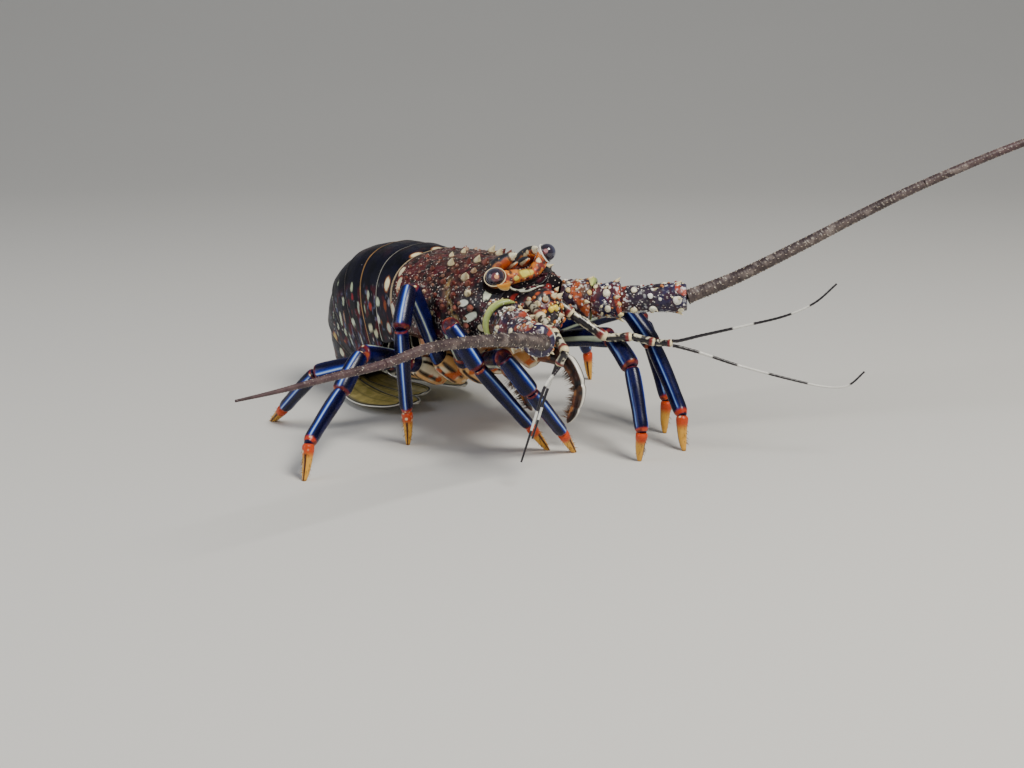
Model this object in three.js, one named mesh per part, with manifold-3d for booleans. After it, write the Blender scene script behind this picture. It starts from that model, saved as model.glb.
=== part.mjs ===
// Banded spiny lobster, a still life-size model in millimetres: +X to the head, +Y to its left, +Z up.
// The body is built level in its own frame and then leans as one group; the feet stand on z = 0.

import * as THREE from 'three';
import { mergeVertices } from 'three/addons/utils/BufferGeometryUtils.js';
import Module from 'manifold-3d';

const wasm = await Module();
wasm.setup();

// Driving dimensions
const GAP = 0.3;
const STAND_HEIGHT = 57.2;
const NOSE_UP = 7;
const LEAN = 8.7;
const PLAN_CENTRE = [61, 88];
const CARAPACE_REAR = -30.5;
const CARAPACE_REAR_SLANT = 0.05;
const CARAPACE_FRONT = 39;
const CERVICAL_GROOVE = { x: 6, sweep: 9, depth: 1.1, width: 3.2 };
const EYE = { radius: 4.1, orbit: 6.9 };
const EYE_CENTRE = { left: [35.5, 15.4, 18.7], right: [35.5, -14.2, 14.9] };
const COXA_RADIUS = 5.3;
const COXA_LENGTH = 10;
const FOOT_SINK = 1.0;
const ANTENNA_RADIUS = { base: 9.2, middle: 7.8, end: 6.3 };
const FLAGELLUM_RADIUS = { base: 3.3, tip: 0.45 };
const ANTENNULE_RADIUS = { peduncle: 2.3, flagellum: 0.85, tip: 0.4, fork: 1.02 };
const FORK_WAY = { left: [0, 0, 1], right: [-0.88, 0, 0.47] };

// Stations along the carapace: x, half width, top, bottom
const CARAPACE = [
  [-38, 24.6, 23.2, -11.5],
  [-30, 25.6, 22.8, -13.5],
  [-18, 27, 22, -15],
  [-4, 27.4, 21, -15.5],
  [10, 26.4, 20.2, -15],
  [22, 24, 18.8, -13],
  [32, 21.2, 15.8, -11],
  [39, 18.2, 11.6, -8],
];

// Rows of spines on the carapace: degrees down from the crest, first and last x, and spines in the row
const SPINE_ROWS = [
  { angle: 13, from: -22, to: 20, count: 5 },
  { angle: 30, from: -25, to: 19, count: 6 },
  { angle: 47, from: -21, to: 23, count: 6 },
  { angle: 64, from: -24, to: 25, count: 6 },
  { angle: 79, from: 9, to: 25, count: 3 },
  { angle: 97, from: 10, to: 22, count: 3 },
];
const SPINE_LENGTH = { rear: 2.2, front: 5.2 };
const PEDUNCLE_SPINES = { count: 5, length: 4.2, radius: 1.25 };

// Stations along the breast plate between the legs: x, half width, bottom
const STERNUM = [
  [-31, 15, -22.5],
  [-26, 17, -24],
  [-17, 17, -25],
  [-4, 15, -25],
  [9, 12, -24],
  [20, 9, -22.5],
  [26, 6.5, -20],
];

// Stations of the plate that carries the antennules: x, half width, top, bottom
const HEAD_FRONT = [
  [36, 13, 10.5, -14],
  [44, 10, 9, -14],
  [49, 7.5, 6.5, -13],
  [52, 5, 3, -10],
];

// Edges between the tail rings: number, back x, back z, belly x, belly z, half width
const ABDOMEN = [
  [0, -31, 23.2, -33, -11.5, 24.6],
  [1, -44, 25.4, -46.5, -12.5, 24.8],
  [2, -60, 26.6, -57.5, -14, 24.6],
  [3, -78.5, 24.4, -67.5, -16.5, 23.8],
  [4, -98, 14.5, -76, -20, 22.4],
  [5, -112, -4, -82, -25, 20.4],
  [6, -115.5, -26, -89, -32, 17.4],
];

// Half outline of a tail ring: share of the half width, share of the way from belly to back
const TAIL_RING = [
  [0, 1],
  [0.34, 0.975],
  [0.64, 0.88],
  [0.86, 0.7],
  [0.97, 0.47],
  [1, 0.24],
  [0.99, 0.02],
  [0.9, 0.04],
  [0.7, 0.17],
  [0.36, 0.2],
];
const PLEURA_POINTS = [6, 7];
const PLEURA_DROP = [0.05, 0.16, 0.18, 0.18, 0.16, 0.1];

// Tail fan: paths of its plates in side view, half thickness along them, and half widths
const UROPOD_PATH = [
  [-102.5, -26.5], [-104.5, -36], [-99, -41.6], [-86, -44.4], [-67, -45.8], [-53, -46.8], [-45, -47.4],
];
const TELSON_PATH = [
  [-102.5, -26.5], [-104.5, -36], [-99, -41.6], [-89, -44.1], [-75, -45.3], [-65.5, -45.9], [-59.5, -46.4],
];
const FAN_THICKNESS = [2.2, 1.4, 0.95, 0.85, 0.8, 0.75, 0.6];
const TELSON_WIDTHS = [6, 6.5, 7.4, 9, 9.2, 7.4, 3.6];
const UROPOD = {
  inner: { rise: 1.9, droop: 0.055, out: [8, 8.4, 9.5, 12, 14, 14, 13.5], widths: [1.8, 2, 3.6, 6, 6.8, 5.4, 2.6] },
  outer: { rise: 4.2, droop: 0.067, out: [12, 12.6, 14.5, 20, 24.5, 24, 22], widths: [1.8, 2, 4, 7, 7.6, 6, 2.8] },
};

// Swimmerets under rings 2 to 5, each with its length and its lean to the rear in degrees
const SWIMMERET = { apart: 10.5, wide: 5, thick: 0.75 };
const SWIMMERETS = { 2: [28, 18], 3: [30, 8], 4: [26, 8], 5: [20, 10] };

// Leg bases in the body's frame, drop of the coxa inward, and lengths of merus, carpus, propodus and dactyl
const LEG_SIZES = [
  { base: [20, 17, -21], drop: 3, lengths: [36, 18, 28, 14] },
  { base: [9, 20, -22], drop: 8, lengths: [42, 21, 38, 16] },
  { base: [-4, 23, -22], drop: 8, lengths: [41, 20, 38, 16] },
  { base: [-17, 25, -22], drop: 8, lengths: [40, 20, 36, 16] },
  { base: [-28, 25, -21.5], drop: 6, lengths: [29, 18, 31, 14] },
];

// Stance: plan angle out from the heading, pitch of each length, and the bends in plan, in degrees
const STANCE = {
  right: [
    { plan: 23, pitch: [13, -53, -47, -52], knee: -84, wrist: -38 },
    { plan: 45, pitch: [35, -57, -48, -52], knee: -92, wrist: -39 },
    { plan: 80, pitch: [62, -53, -102, -94], knee: -28, wrist: -4 },
    { plan: 75, pitch: [16, -44, -21, -69], knee: -4, wrist: -17 },
    { plan: 86, pitch: [7, -15, -40, -38], knee: 46, wrist: 41 },
  ],
  left: [
    { plan: 12, pitch: [8, -34, -60, -100], knee: -18, wrist: -15 },
    { plan: 47, pitch: [23, -47, -40, -80], knee: -31, wrist: -32 },
    { plan: 58, pitch: [24, -24, -54, -95], knee: -36, wrist: -36 },
    { plan: 112, pitch: [24, -34, -52, -78], knee: 0, wrist: 0 },
    { plan: 146, pitch: [18, -30, -52, -72], knee: 0, wrist: 0 },
  ],
};

// Routes of the feelers as they stand, from the floor's frame, each with its base first
const ROUTES = {
  antenna: {
    left: [[36, 17, 62], [45, 26.2, 61], [54, 35.4, 62.2], [73.4, 54.8, 63.9]],
    right: [[36.3, -16.5, 57.1], [49, -21.5, 57.6], [62, -26.5, 58], [89, -35, 58.4]],
  },
  flagellum: {
    left: [
      [74.5, 56.5, 64.6], [85.8, 71.6, 72.4], [100.4, 93.4, 85.3], [114.6, 113.7, 98.2],
      [129.7, 135.2, 111], [153, 168, 127.8], [176, 203, 141], [196, 240, 151], [213, 279, 157],
      [226, 319, 159], [234, 352, 158],
    ],
    right: [
      [91.4, -38.6, 59.6], [92.6, -50, 61.9], [94.6, -70, 64.1], [97.6, -93, 65.2],
      [100.4, -114, 62.6], [103.2, -138, 61.6], [105.2, -151, 61], [107, -163, 60.6], [109, -177, 60.4],
    ],
  },
  antennule: {
    left: [[43, 5.3, 65.5], [50, 11.5, 58], [61.7, 20.9, 48.6], [69.7, 27.7, 49.6], [77.1, 33.9, 47.6],
      [82.5, 38.4, 47.6]],
    right: [[43.3, -6.5, 64], [58, -11, 60], [74, -16.5, 56.5], [86.5, -21.5, 52.5], [83.5, -22.5, 47]],
  },
  upper: {
    left: [[84.4, 40, 48.7], [91, 46, 51.2], [104, 60, 56], [115, 71, 60.4], [123, 79, 66], [129, 85, 74]],
    right: [[81.4, -22.6, 44.8], [79.8, -23.4, 40], [79.6, -26, 34], [80, -29, 27], [80.4, -33, 18]],
  },
  lower: {
    left: [[84.4, 40, 46.3], [91, 47, 43.8], [102, 58, 39], [123, 79, 32], [130, 86, 31], [134, 90, 32.4],
      [138, 94, 38]],
    right: [[84.2, -24, 44.8], [84, -28.2, 41], [84.2, -31, 37], [84.6, -34, 30], [84.8, -36.5, 24],
      [85, -42, 11]],
  },
  maxilliped: {
    left: [[30, 6.4, 39], [40, 10.5, 38.6], [48, 12.5, 36], [54.5, 12.4, 27], [53.4, 11, 18], [50, 9.4, 11.5]],
    right: [[30.6, -8.2, 36.6], [37, -12, 35.5], [44, -13.5, 34], [49, -13, 29], [50, -11, 23.5],
      [48.5, -8.5, 19.5]],
  },
};

// Colours of the plain surfaces
const FINISH = {
  shell: { color: 0x4a2420, roughness: 0.45, metalness: 0 },
  tail: { color: 0x14162a, roughness: 0.3, metalness: 0 },
  belly: { color: 0xd9b98a, roughness: 0.5, metalness: 0 },
  horn: { color: 0xe6d9a8, roughness: 0.4, metalness: 0 },
  leg: { color: 0x1c2a6e, roughness: 0.3, metalness: 0 },
  foot: { color: 0xc4622a, roughness: 0.4, metalness: 0 },
  feeler: { color: 0x5c3a34, roughness: 0.5, metalness: 0 },
  antennule: { color: 0x1a1418, roughness: 0.4, metalness: 0 },
  stalk: { color: 0xd9772e, roughness: 0.4, metalness: 0 },
  cornea: { color: 0x24161e, roughness: 0.1, metalness: 0 },
  fan: { color: 0x8a7d3a, roughness: 0.4, metalness: 0 },
};

// Frames: the leaning body, and the floor seen from it
const lobster = new THREE.Group();
const body = new THREE.Group();
body.position.set(0, 0, STAND_HEIGHT);
body.rotation.set(THREE.MathUtils.degToRad(LEAN), -THREE.MathUtils.degToRad(NOSE_UP), 0, 'YXZ');
body.updateMatrix();
lobster.add(body);
lobster.position.set(-PLAN_CENTRE[0], -PLAN_CENTRE[1], 0);
const floorToBody = body.matrix.clone().invert();

const vec = (x, y, z) => new THREE.Vector3(x, y, z);
const fromFloor = (point) => point.clone().applyMatrix4(floorToBody);
const routeOf = (points) => points.map(([x, y, z]) => fromFloor(vec(x, y, z)));

// The same numbers each run, between 0 and 1
function seeded(seed) {
  let state = seed;
  return () => {
    state = (state * 1664525 + 1013904223) % 4294967296;
    return state / 4294967296;
  };
}

// A smooth value of one column at x in a table of stations
function between(stations, x, column) {
  const last = stations.length - 1;
  const clamped = THREE.MathUtils.clamp(x, stations[0][0], stations[last][0]);
  let i = 0;
  while (i < last - 1 && clamped > stations[i + 1][0]) i += 1;
  const slope = (k) => {
    const low = Math.max(k - 1, 0);
    const high = Math.min(k + 1, last);
    return (stations[high][column] - stations[low][column]) / (stations[high][0] - stations[low][0]);
  };
  const step = stations[i + 1][0] - stations[i][0];
  const u = (clamped - stations[i][0]) / step;
  const start = stations[i][column] * (1 + 2 * u) * (1 - u) ** 2;
  const end = stations[i + 1][column] * u * u * (3 - 2 * u);
  const leave = slope(i) * step * u * (1 - u) ** 2;
  const arrive = slope(i + 1) * step * u * u * (u - 1);
  return start + end + leave + arrive;
}

// A closed solid through rings of equal count, each end closed on its middle
function loft(rings) {
  const count = rings[0].length;
  const points = rings.flat().map((point) => point.clone());
  const faces = [];
  for (let r = 0; r + 1 < rings.length; r += 1) {
    for (let i = 0; i < count; i += 1) {
      const a = r * count + i;
      const b = r * count + ((i + 1) % count);
      faces.push(a, b, a + count, b, b + count, a + count);
    }
  }
  [0, rings.length - 1].forEach((r, end) => {
    const middle = rings[r].reduce((sum, point) => sum.add(point), vec(0, 0, 0)).divideScalar(count);
    points.push(middle);
    for (let i = 0; i < count; i += 1) {
      const a = r * count + i;
      const b = r * count + ((i + 1) % count);
      const fan = end ? [a, b, points.length - 1] : [b, a, points.length - 1];
      faces.push(...fan);
    }
  });
  let volume = 0;
  for (let f = 0; f < faces.length; f += 3) {
    const [a, b, c] = [points[faces[f]], points[faces[f + 1]], points[faces[f + 2]]];
    volume += a.dot(b.clone().cross(c));
  }
  if (volume < 0) {
    for (let f = 0; f < faces.length; f += 3) {
      [faces[f], faces[f + 1]] = [faces[f + 1], faces[f]];
    }
  }
  const geometry = new THREE.BufferGeometry().setFromPoints(points);
  geometry.setIndex(faces);
  return geometry;
}

// Oval rings across a bent path: the first radius lies along side, the second square to it
function ringsAlong(path, radii, sides, side) {
  const last = path.length - 1;
  return path.map((point, i) => {
    const before = point.clone().sub(path[Math.max(i - 1, 0)]).normalize();
    const after = path[Math.min(i + 1, last)].clone().sub(point).normalize();
    const tangent = before.clone().add(after).normalize();
    const mitre = i > 0 && i < last ? Math.min(1.25, Math.sqrt(2 / (1 + before.dot(after)))) : 1;
    const across = side.clone().addScaledVector(tangent, -side.dot(tangent)).normalize();
    const up = tangent.clone().cross(across);
    const [wide, tall] = radii[i];
    const ring = [];
    for (let k = 0; k < sides; k += 1) {
      const angle = ((k + 0.5) / sides) * 2 * Math.PI;
      const offset = across.clone().multiplyScalar(wide * Math.cos(angle));
      offset.addScaledVector(up, tall * mitre * Math.sin(angle));
      ring.push(point.clone().add(offset));
    }
    ring.tangent = tangent;
    ring.across = across;
    ring.up = up;
    ring.middle = point;
    return ring;
  });
}

// Lofts of the rings, parted by a thin gap at the ring numbers given
function parted(rings, breaks) {
  const ends = [0, ...breaks, rings.length - 1];
  const shifted = (ring, by) => ring.map((point) => point.clone().addScaledVector(ring.tangent, by));
  return ends.slice(1).map((end, i) => {
    const lengthRings = rings.slice(ends[i], end + 1).map((ring) => [...ring]);
    if (i > 0) lengthRings[0] = shifted(rings[ends[i]], GAP / 2);
    if (end < rings.length - 1) lengthRings[lengthRings.length - 1] = shifted(rings[end], -GAP / 2);
    return loft(lengthRings);
  });
}

// A geometry as a solid for cutting and joining
function solid(geometry) {
  const bare = geometry.clone();
  bare.deleteAttribute('normal');
  bare.deleteAttribute('uv');
  const merged = mergeVertices(bare, 1e-4);
  const vertProperties = new Float32Array(merged.attributes.position.array);
  const triVerts = new Uint32Array(merged.index.array);
  return new wasm.Manifold(new wasm.Mesh({ numProp: 3, vertProperties, triVerts }));
}

// The largest closed surface of several joined pieces
function fuse(pieces) {
  const joined = pieces.reduce((sum, piece) => sum.add(piece));
  const surfaces = joined.decompose();
  return surfaces.sort((a, b) => b.volume() - a.volume())[0];
}

function cutBy(piece, tools) {
  return fuse([tools.reduce((rest, tool) => rest.subtract(tool), piece)]);
}

function addNode(name, piece, finish) {
  const { vertProperties, triVerts, numProp } = piece.getMesh();
  const positions = [];
  for (let i = 0; i < vertProperties.length; i += numProp) {
    positions.push(vertProperties[i], vertProperties[i + 1], vertProperties[i + 2]);
  }
  const geometry = new THREE.BufferGeometry();
  geometry.setAttribute('position', new THREE.Float32BufferAttribute(positions, 3));
  geometry.setIndex([...triVerts]);
  geometry.computeVertexNormals();
  const mesh = new THREE.Mesh(geometry, new THREE.MeshStandardMaterial(finish));
  mesh.name = name;
  body.add(mesh);
}

// A spine that stands on root and leans along direction, sunk into what carries it
function spine(root, direction, length, radius, sides = 5) {
  const sink = Math.min(1.6, 0.45 * length);
  const cone = new THREE.ConeGeometry(radius, length + sink, sides);
  const lean = direction.clone().normalize();
  cone.applyQuaternion(new THREE.Quaternion().setFromUnitVectors(vec(0, 1, 0), lean));
  const middle = root.clone().addScaledVector(lean, (length - sink) / 2);
  cone.translate(middle.x, middle.y, middle.z);
  return solid(cone);
}

function ball(centre, radius, wide = 16, tall = 10) {
  const geometry = new THREE.SphereGeometry(radius, wide, tall);
  geometry.translate(centre.x, centre.y, centre.z);
  return solid(geometry);
}

// Carapace: an arched tube, squarer below, with the groove across its back
function carapacePoint(x, angle, grow = 0) {
  const { x: grooveX, sweep, depth, width } = CERVICAL_GROOVE;
  const turn = Math.abs(angle) / (Math.PI / 2);
  const offGroove = (x - grooveX - sweep * turn * turn) / width;
  const groove = turn < 1.3 ? depth * Math.exp(-offGroove * offGroove) : 0;
  const half = between(CARAPACE, x, 1) + grow - groove;
  const top = between(CARAPACE, x, 2) + grow - groove;
  const bottom = between(CARAPACE, x, 3) - grow;
  const waist = bottom + 0.42 * (top - bottom);
  const s = Math.sin(angle);
  const c = Math.cos(angle);
  const y = half * Math.sign(s) * Math.abs(s) ** 0.8;
  const rise = c > 0 ? (top - waist) * c ** 0.85 : -(waist - bottom) * (-c) ** 0.6;
  return vec(x, y, waist + rise);
}

function carapaceNormal(x, angle) {
  const along = carapacePoint(x + 0.5, angle).sub(carapacePoint(x - 0.5, angle));
  const around = carapacePoint(x, angle + 0.02).sub(carapacePoint(x, angle - 0.02));
  return along.cross(around).normalize();
}

const eyeCentre = (side) => vec(...(side > 0 ? EYE_CENTRE.left : EYE_CENTRE.right));

function carapaceCore(grow = 0) {
  const steps = 24;
  const sides = 32;
  const rings = [];
  for (let i = 0; i <= steps; i += 1) {
    const x = THREE.MathUtils.lerp(CARAPACE_REAR, CARAPACE_FRONT, i / steps);
    const ring = [];
    for (let k = 0; k < sides; k += 1) {
      ring.push(carapacePoint(x, ((k + 0.5) / sides) * 2 * Math.PI - Math.PI, grow));
    }
    ring.forEach((point) => {
      if (i === 0) point.x -= grow + CARAPACE_REAR_SLANT * (ring[sides / 2].z - point.z);
      if (i === steps) point.x += grow;
    });
    rings.push(ring);
  }
  const orbits = [-1, 1].map((side) => ball(eyeCentre(side), EYE.orbit - grow, 14, 10));
  return cutBy(solid(loft(rings)), orbits);
}

// The carapace with its rows of spines, longer and lower towards the head
function makeCarapace() {
  const random = seeded(11);
  const spines = [];
  SPINE_ROWS.forEach(({ angle, from, to, count }) => [-1, 1].forEach((side) => {
    for (let i = 0; i < count; i += 1) {
      const x = THREE.MathUtils.lerp(from, to, i / (count - 1)) + 2.4 * (random() - 0.5);
      const turn = side * THREE.MathUtils.degToRad(angle + 5 * (random() - 0.5));
      const frontness = THREE.MathUtils.clamp((x + 25) / 58, 0, 1);
      const { rear, front } = SPINE_LENGTH;
      const length = THREE.MathUtils.lerp(rear, front, frontness ** 1.4) * (0.85 + 0.3 * random());
      const root = carapacePoint(x, turn);
      const lean = carapaceNormal(x, turn).add(vec(0.5 + 0.5 * frontness, 0, 0));
      spines.push(spine(root, lean, length, 0.5 + 0.2 * length));
    }
  }));
  return fuse([carapaceCore(), ...spines]);
}

function makeHorn(side, fences) {
  const path = [vec(23, 7.4, 12.5), vec(29.5, 7.2, 17.6), vec(35.8, 6.4, 20.8), vec(41.8, 5.5, 23)];
  path.forEach((point) => { point.y *= side; });
  const radii = [[3.6, 5], [3.2, 4.2], [2, 2.8], [0.5, 0.6]];
  const horn = solid(loft(ringsAlong(path, radii, 8, vec(0, 1, 0))));
  return cutBy(horn, fences);
}

// Breast plate between the legs
function sternumCore(grow = 0) {
  const rings = STERNUM.map(([x, half, bottom], i) => {
    const shift = i === 0 ? -grow : i === STERNUM.length - 1 ? grow : 0;
    const wide = half + grow;
    const low = bottom - grow;
    const outline = [[-1, -5], [-1, low + 2], [-0.5, low], [0.5, low], [1, low + 2], [1, -5]];
    return outline.map(([share, z]) => vec(x + shift, share * wide, z));
  });
  return solid(loft(rings));
}

// Plate between the antenna bases, with the jaws under it
function headFrontCore(grow = 0) {
  const sides = 14;
  const rings = HEAD_FRONT.map(([x, half, top, bottom], i) => {
    const shift = i === 0 ? -grow : i === HEAD_FRONT.length - 1 ? grow : 0;
    const middle = (top + bottom) / 2;
    const tall = (top - bottom) / 2 + grow;
    const ring = [];
    for (let k = 0; k < sides; k += 1) {
      const angle = ((k + 0.5) / sides) * 2 * Math.PI;
      ring.push(vec(x + shift, (half + grow) * Math.cos(angle), middle + tall * Math.sin(angle)));
    }
    return ring;
  });
  const jaws = new THREE.SphereGeometry(1, 12, 8);
  jaws.scale(9 + grow, 8.5 + grow, 7 + grow);
  jaws.translate(37, 0, -14);
  return fuse([solid(loft(rings)), solid(jaws)]);
}

// Eyestalk that reaches out of the head and cups the eye
function makeEyestalk(side, fences) {
  const eye = eyeCentre(side);
  const path = [vec(38.4, side * GAP / 2, 12.8), vec(38.4, side * 3.2, 12.8)];
  path.push(vec(38.6, side * 7.4, (12.4 + eye.z) / 2));
  path.push(vec(37.2, eye.y - side * 3.4, eye.z - 1));
  path.push(vec(36, eye.y - side * 0.8, eye.z - 0.2));
  const radii = [[2.6, 2.6], [2.6, 2.6], [2.9, 2.9], [3.3, 3.3], [3.8, 3.8]];
  const stalk = solid(loft(ringsAlong(path, radii, 10, vec(1, 0, 0))));
  return cutBy(stalk, [...fences, ball(eyeCentre(side), EYE.radius + GAP)]);
}

// Antenna: three stout lengths and a long whip
function makePeduncle(route, fences) {
  const [start, first, second, end] = route;
  const { base, middle, end: thin } = ANTENNA_RADIUS;
  const path = [
    start, start.clone().lerp(first, 0.75), first, first.clone().lerp(second, 0.3),
    first.clone().lerp(second, 0.75), second, second.clone().lerp(end, 0.25),
    second.clone().lerp(end, 0.8), end,
  ];
  const radii = [base, base, 0.9 * base, middle * 0.95, middle, 0.9 * middle, 0.95 * thin, thin,
    0.9 * thin].map((radius) => [radius, 0.95 * radius]);
  const rings = ringsAlong(path, radii, 12, vec(0, 0, 1));
  const random = seeded(29);
  return parted(rings, [2, 5]).map((length, i) => {
    const rim = rings[[1, 4, 7][i]];
    const { count, length: long, radius } = PEDUNCLE_SPINES;
    const spines = [];
    for (let k = 0; k < count; k += 1) {
      const angle = ((k + 0.3 * random()) / count) * 2 * Math.PI;
      const out = rim.across.clone().multiplyScalar(Math.cos(angle));
      out.addScaledVector(rim.up, Math.sin(angle));
      const root = rim.middle.clone().addScaledVector(out, 0.93 * radii[[1, 4, 7][i]][0]);
      root.addScaledVector(rim.tangent, 1.5 * (random() - 0.6));
      spines.push(spine(root, out.add(rim.tangent), long * (0.75 + 0.4 * random()), radius));
    }
    return cutBy(fuse([solid(length), ...spines]), fences);
  });
}

// A flagellum that starts on the end of the length that carries it, moved across that end by aside
function whip(carrier, route, [base, tip], sides, breaks, aside = vec(0, 0, 0)) {
  const { end, tangent, piece } = carrier;
  const start = end.clone().addScaledVector(tangent, GAP / 2).add(aside);
  const path = [start, ...route];
  const last = path.length - 1;
  const radii = path.map((_, i) => {
    const radius = THREE.MathUtils.lerp(base, tip, (i / last) ** 0.9);
    return [radius, radius];
  });
  const fence = piece.translate(tangent.clone().multiplyScalar(GAP).toArray());
  const lengths = parted(ringsAlong(path, radii, sides, vec(0, 0, 1)), breaks).map(solid);
  return [cutBy(lengths[0], [piece, fence]), ...lengths.slice(1)];
}

const endOf = (route, piece) => {
  const [before, end] = route.slice(-2);
  return { end, tangent: end.clone().sub(before).normalize(), piece };
};

function makeAntennule(route, fences) {
  const radius = ANTENNULE_RADIUS.peduncle;
  const radii = route.map((_, i) => [radius * (1 - 0.08 * i), radius * (1 - 0.08 * i)]);
  return cutBy(solid(loft(ringsAlong(route, radii, 8, vec(0, 0, 1)))), fences);
}

function makeMaxilliped(route, fences) {
  const wide = [3.6, 3.9, 3.6, 3, 2.3, 1];
  const radii = wide.map((radius) => [0.8 * radius, radius]);
  return cutBy(solid(loft(ringsAlong(route, radii, 8, vec(0, 1, 0)))), fences);
}

// Joints of a leg as it stands, from the hip to the tip
function legJoints(hip, lengths, stance, side, lift) {
  const plans = [stance.plan, stance.plan + stance.knee];
  plans.push(plans[1] + stance.wrist, plans[1] + stance.wrist);
  const joints = [hip];
  lengths.forEach((length, i) => {
    const pitch = THREE.MathUtils.degToRad(stance.pitch[i] + (i === 0 ? lift : 0));
    const plan = THREE.MathUtils.degToRad(plans[i]);
    const run = length * Math.cos(pitch);
    const step = vec(run * Math.cos(plan), side * run * Math.sin(plan), length * Math.sin(pitch));
    joints.push(joints[i].clone().add(step));
  });
  return joints;
}

// The merus is lifted or lowered until the foot reaches the floor
function settledJoints(hip, lengths, stance, side) {
  let low = -30;
  let high = 30;
  for (let pass = 0; pass < 40; pass += 1) {
    const lift = (low + high) / 2;
    const tip = legJoints(hip, lengths, stance, side, lift)[4];
    if (tip.z > -FOOT_SINK) high = lift;
    else low = lift;
  }
  return legJoints(hip, lengths, stance, side, high);
}

function makeLeg(side, number, fences) {
  const { base: [x, y, z], drop, lengths } = LEG_SIZES[number - 1];
  const stance = STANCE[side > 0 ? 'left' : 'right'][number - 1];
  const hip = vec(x, side * y, z).applyMatrix4(body.matrix);
  const [, knee, wrist, ankle, tip] = settledJoints(hip, lengths, stance, side).map(fromFloor);
  const root = vec(x, side * y, z);
  const inner = vec(x, side * (y - COXA_LENGTH), z - drop);
  const on = (from, to, distance) => from.clone().add(to.clone().sub(from).setLength(distance));
  const stations = [
    [inner, COXA_RADIUS], [on(root, inner, 2.5), COXA_RADIUS], [on(root, knee, 5.5), 5],
    [on(root, knee, 9), 4.1], [on(root, knee, 13), 3.8], [root.clone().lerp(knee, 0.6), 4.2],
    [on(knee, root, 8.4), 4.3], [knee, 4.1], [on(knee, wrist, 8), 4.1], [on(wrist, knee, 4), 4],
    [wrist, 3.8], [on(wrist, ankle, 4), 3.6], [wrist.clone().lerp(ankle, 0.55), 3.2],
    [on(ankle, wrist, 3), 3], [ankle, 2.9], [on(ankle, tip, 3), 2.5], [ankle.clone().lerp(tip, 0.6), 2],
    [tip, 1.1],
  ];
  const path = stations.map(([point]) => point);
  const radii = stations.map(([, radius]) => [0.94 * radius, radius]);
  const bend = knee.clone().sub(root).cross(wrist.clone().sub(knee)).normalize();
  const [upper, lower] = parted(ringsAlong(path, radii, 8, bend), [7]).map(solid);
  const wider = radii.map(([across, along]) => [across + GAP, along + GAP]);
  const upperFence = solid(parted(ringsAlong(path, wider, 8, bend), [7])[0]);
  const slab = new THREE.BoxGeometry(600, 600, 20);
  slab.translate(0, 0, -10);
  slab.applyMatrix4(floorToBody);
  return [cutBy(upper, fences), cutBy(lower, [solid(slab), upperFence])];
}

// Tail: a ring of it is a rounded arch whose lower corners drop as side flaps
function tailRing(place, grow, drop) {
  const [backX, backZ, bellyX, bellyZ, half] = [1, 2, 3, 4, 5].map((c) => between(ABDOMEN, place, c));
  const back = vec(backX, 0, backZ);
  const belly = vec(bellyX, 0, bellyZ);
  const height = back.clone().sub(belly);
  const tall = height.length();
  const up = height.normalize();
  const place3 = (share, rise, side) => {
    const point = belly.clone().addScaledVector(up, rise * tall + (rise > 0.5 ? grow : 0));
    point.y = side * share * (half + grow);
    return point;
  };
  const halfRing = TAIL_RING.map(([share, rise], i) => {
    const flap = PLEURA_POINTS.includes(i) ? drop : 0;
    return [share, rise - flap];
  });
  const left = halfRing.map(([share, rise]) => place3(share, rise, 1));
  const right = halfRing.slice(1).reverse().map(([share, rise]) => place3(share, rise, -1));
  return [...left, place3(0, 0.2, 1), ...right];
}

// Leaf-shaped plate along a path, with its widths and half thicknesses
function leaf(path, widths, across, sides = 8) {
  return solid(loft(ringsAlong(path, widths, sides, across)));
}

// The pair of leaf-shaped swimmerets that hang from the belly of a ring
function makeSwimmerets(number) {
  if (!(number in SWIMMERETS)) return [];
  const [length, lean] = SWIMMERETS[number];
  const { apart, wide, thick } = SWIMMERET;
  const place = number - 0.5;
  const [backX, backZ, bellyX, bellyZ] = [1, 2, 3, 4].map((c) => between(ABDOMEN, place, c));
  const height = vec(backX - bellyX, 0, backZ - bellyZ);
  const angle = Math.atan2(-height.z, -height.x) - THREE.MathUtils.degToRad(lean);
  const way = vec(Math.cos(angle), 0, Math.sin(angle));
  const across = vec(0, 1, 0);
  return [-1, 1].map((side) => {
    const root = vec(bellyX + 0.26 * height.x, side * apart, bellyZ + 0.26 * height.z);
    const reach = (distance, out) => root.clone().addScaledVector(way, distance).addScaledVector(across, side * out);
    const path = [reach(0, 0), reach(0.35 * length, 0), reach(0.7 * length, 0.5), reach(length, 0.8)];
    return leaf(path, [[1.8, 1], [0.8 * wide, thick], [wide, thick], [0.45 * wide, 0.8 * thick]], across);
  });
}

function makeTailRing(number, wider = 0) {
  const start = number - 1;
  const drop = PLEURA_DROP[start];
  const stations = [[0.028, -0.9, 0], [0.16, -0.5, 0.4], [0.45, 0, 0.9], [0.8, 0.1, 1], [0.99, 0, 0.35]];
  const rings = stations.map(([share, grow, flap]) => tailRing(start + share, grow + wider, flap * drop));
  return fuse([solid(loft(rings)), ...makeSwimmerets(number)]);
}

function makeTelson(fences) {
  const path = TELSON_PATH.map(([x, z]) => vec(x, 0, z));
  const blade = leaf(path, TELSON_WIDTHS.map((wide, i) => [wide, FAN_THICKNESS[i]]), vec(0, 1, 0), 10);
  return cutBy(blade, fences);
}

function makeUropod(side, { rise, droop, out, widths }, fences) {
  const path = UROPOD_PATH.map(([x, z], i) => vec(x, side * out[i], z + rise));
  const radii = widths.map((wide, i) => [wide, FAN_THICKNESS[i]]);
  return cutBy(leaf(path, radii, vec(0, 1, -side * droop)), fences);
}

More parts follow.
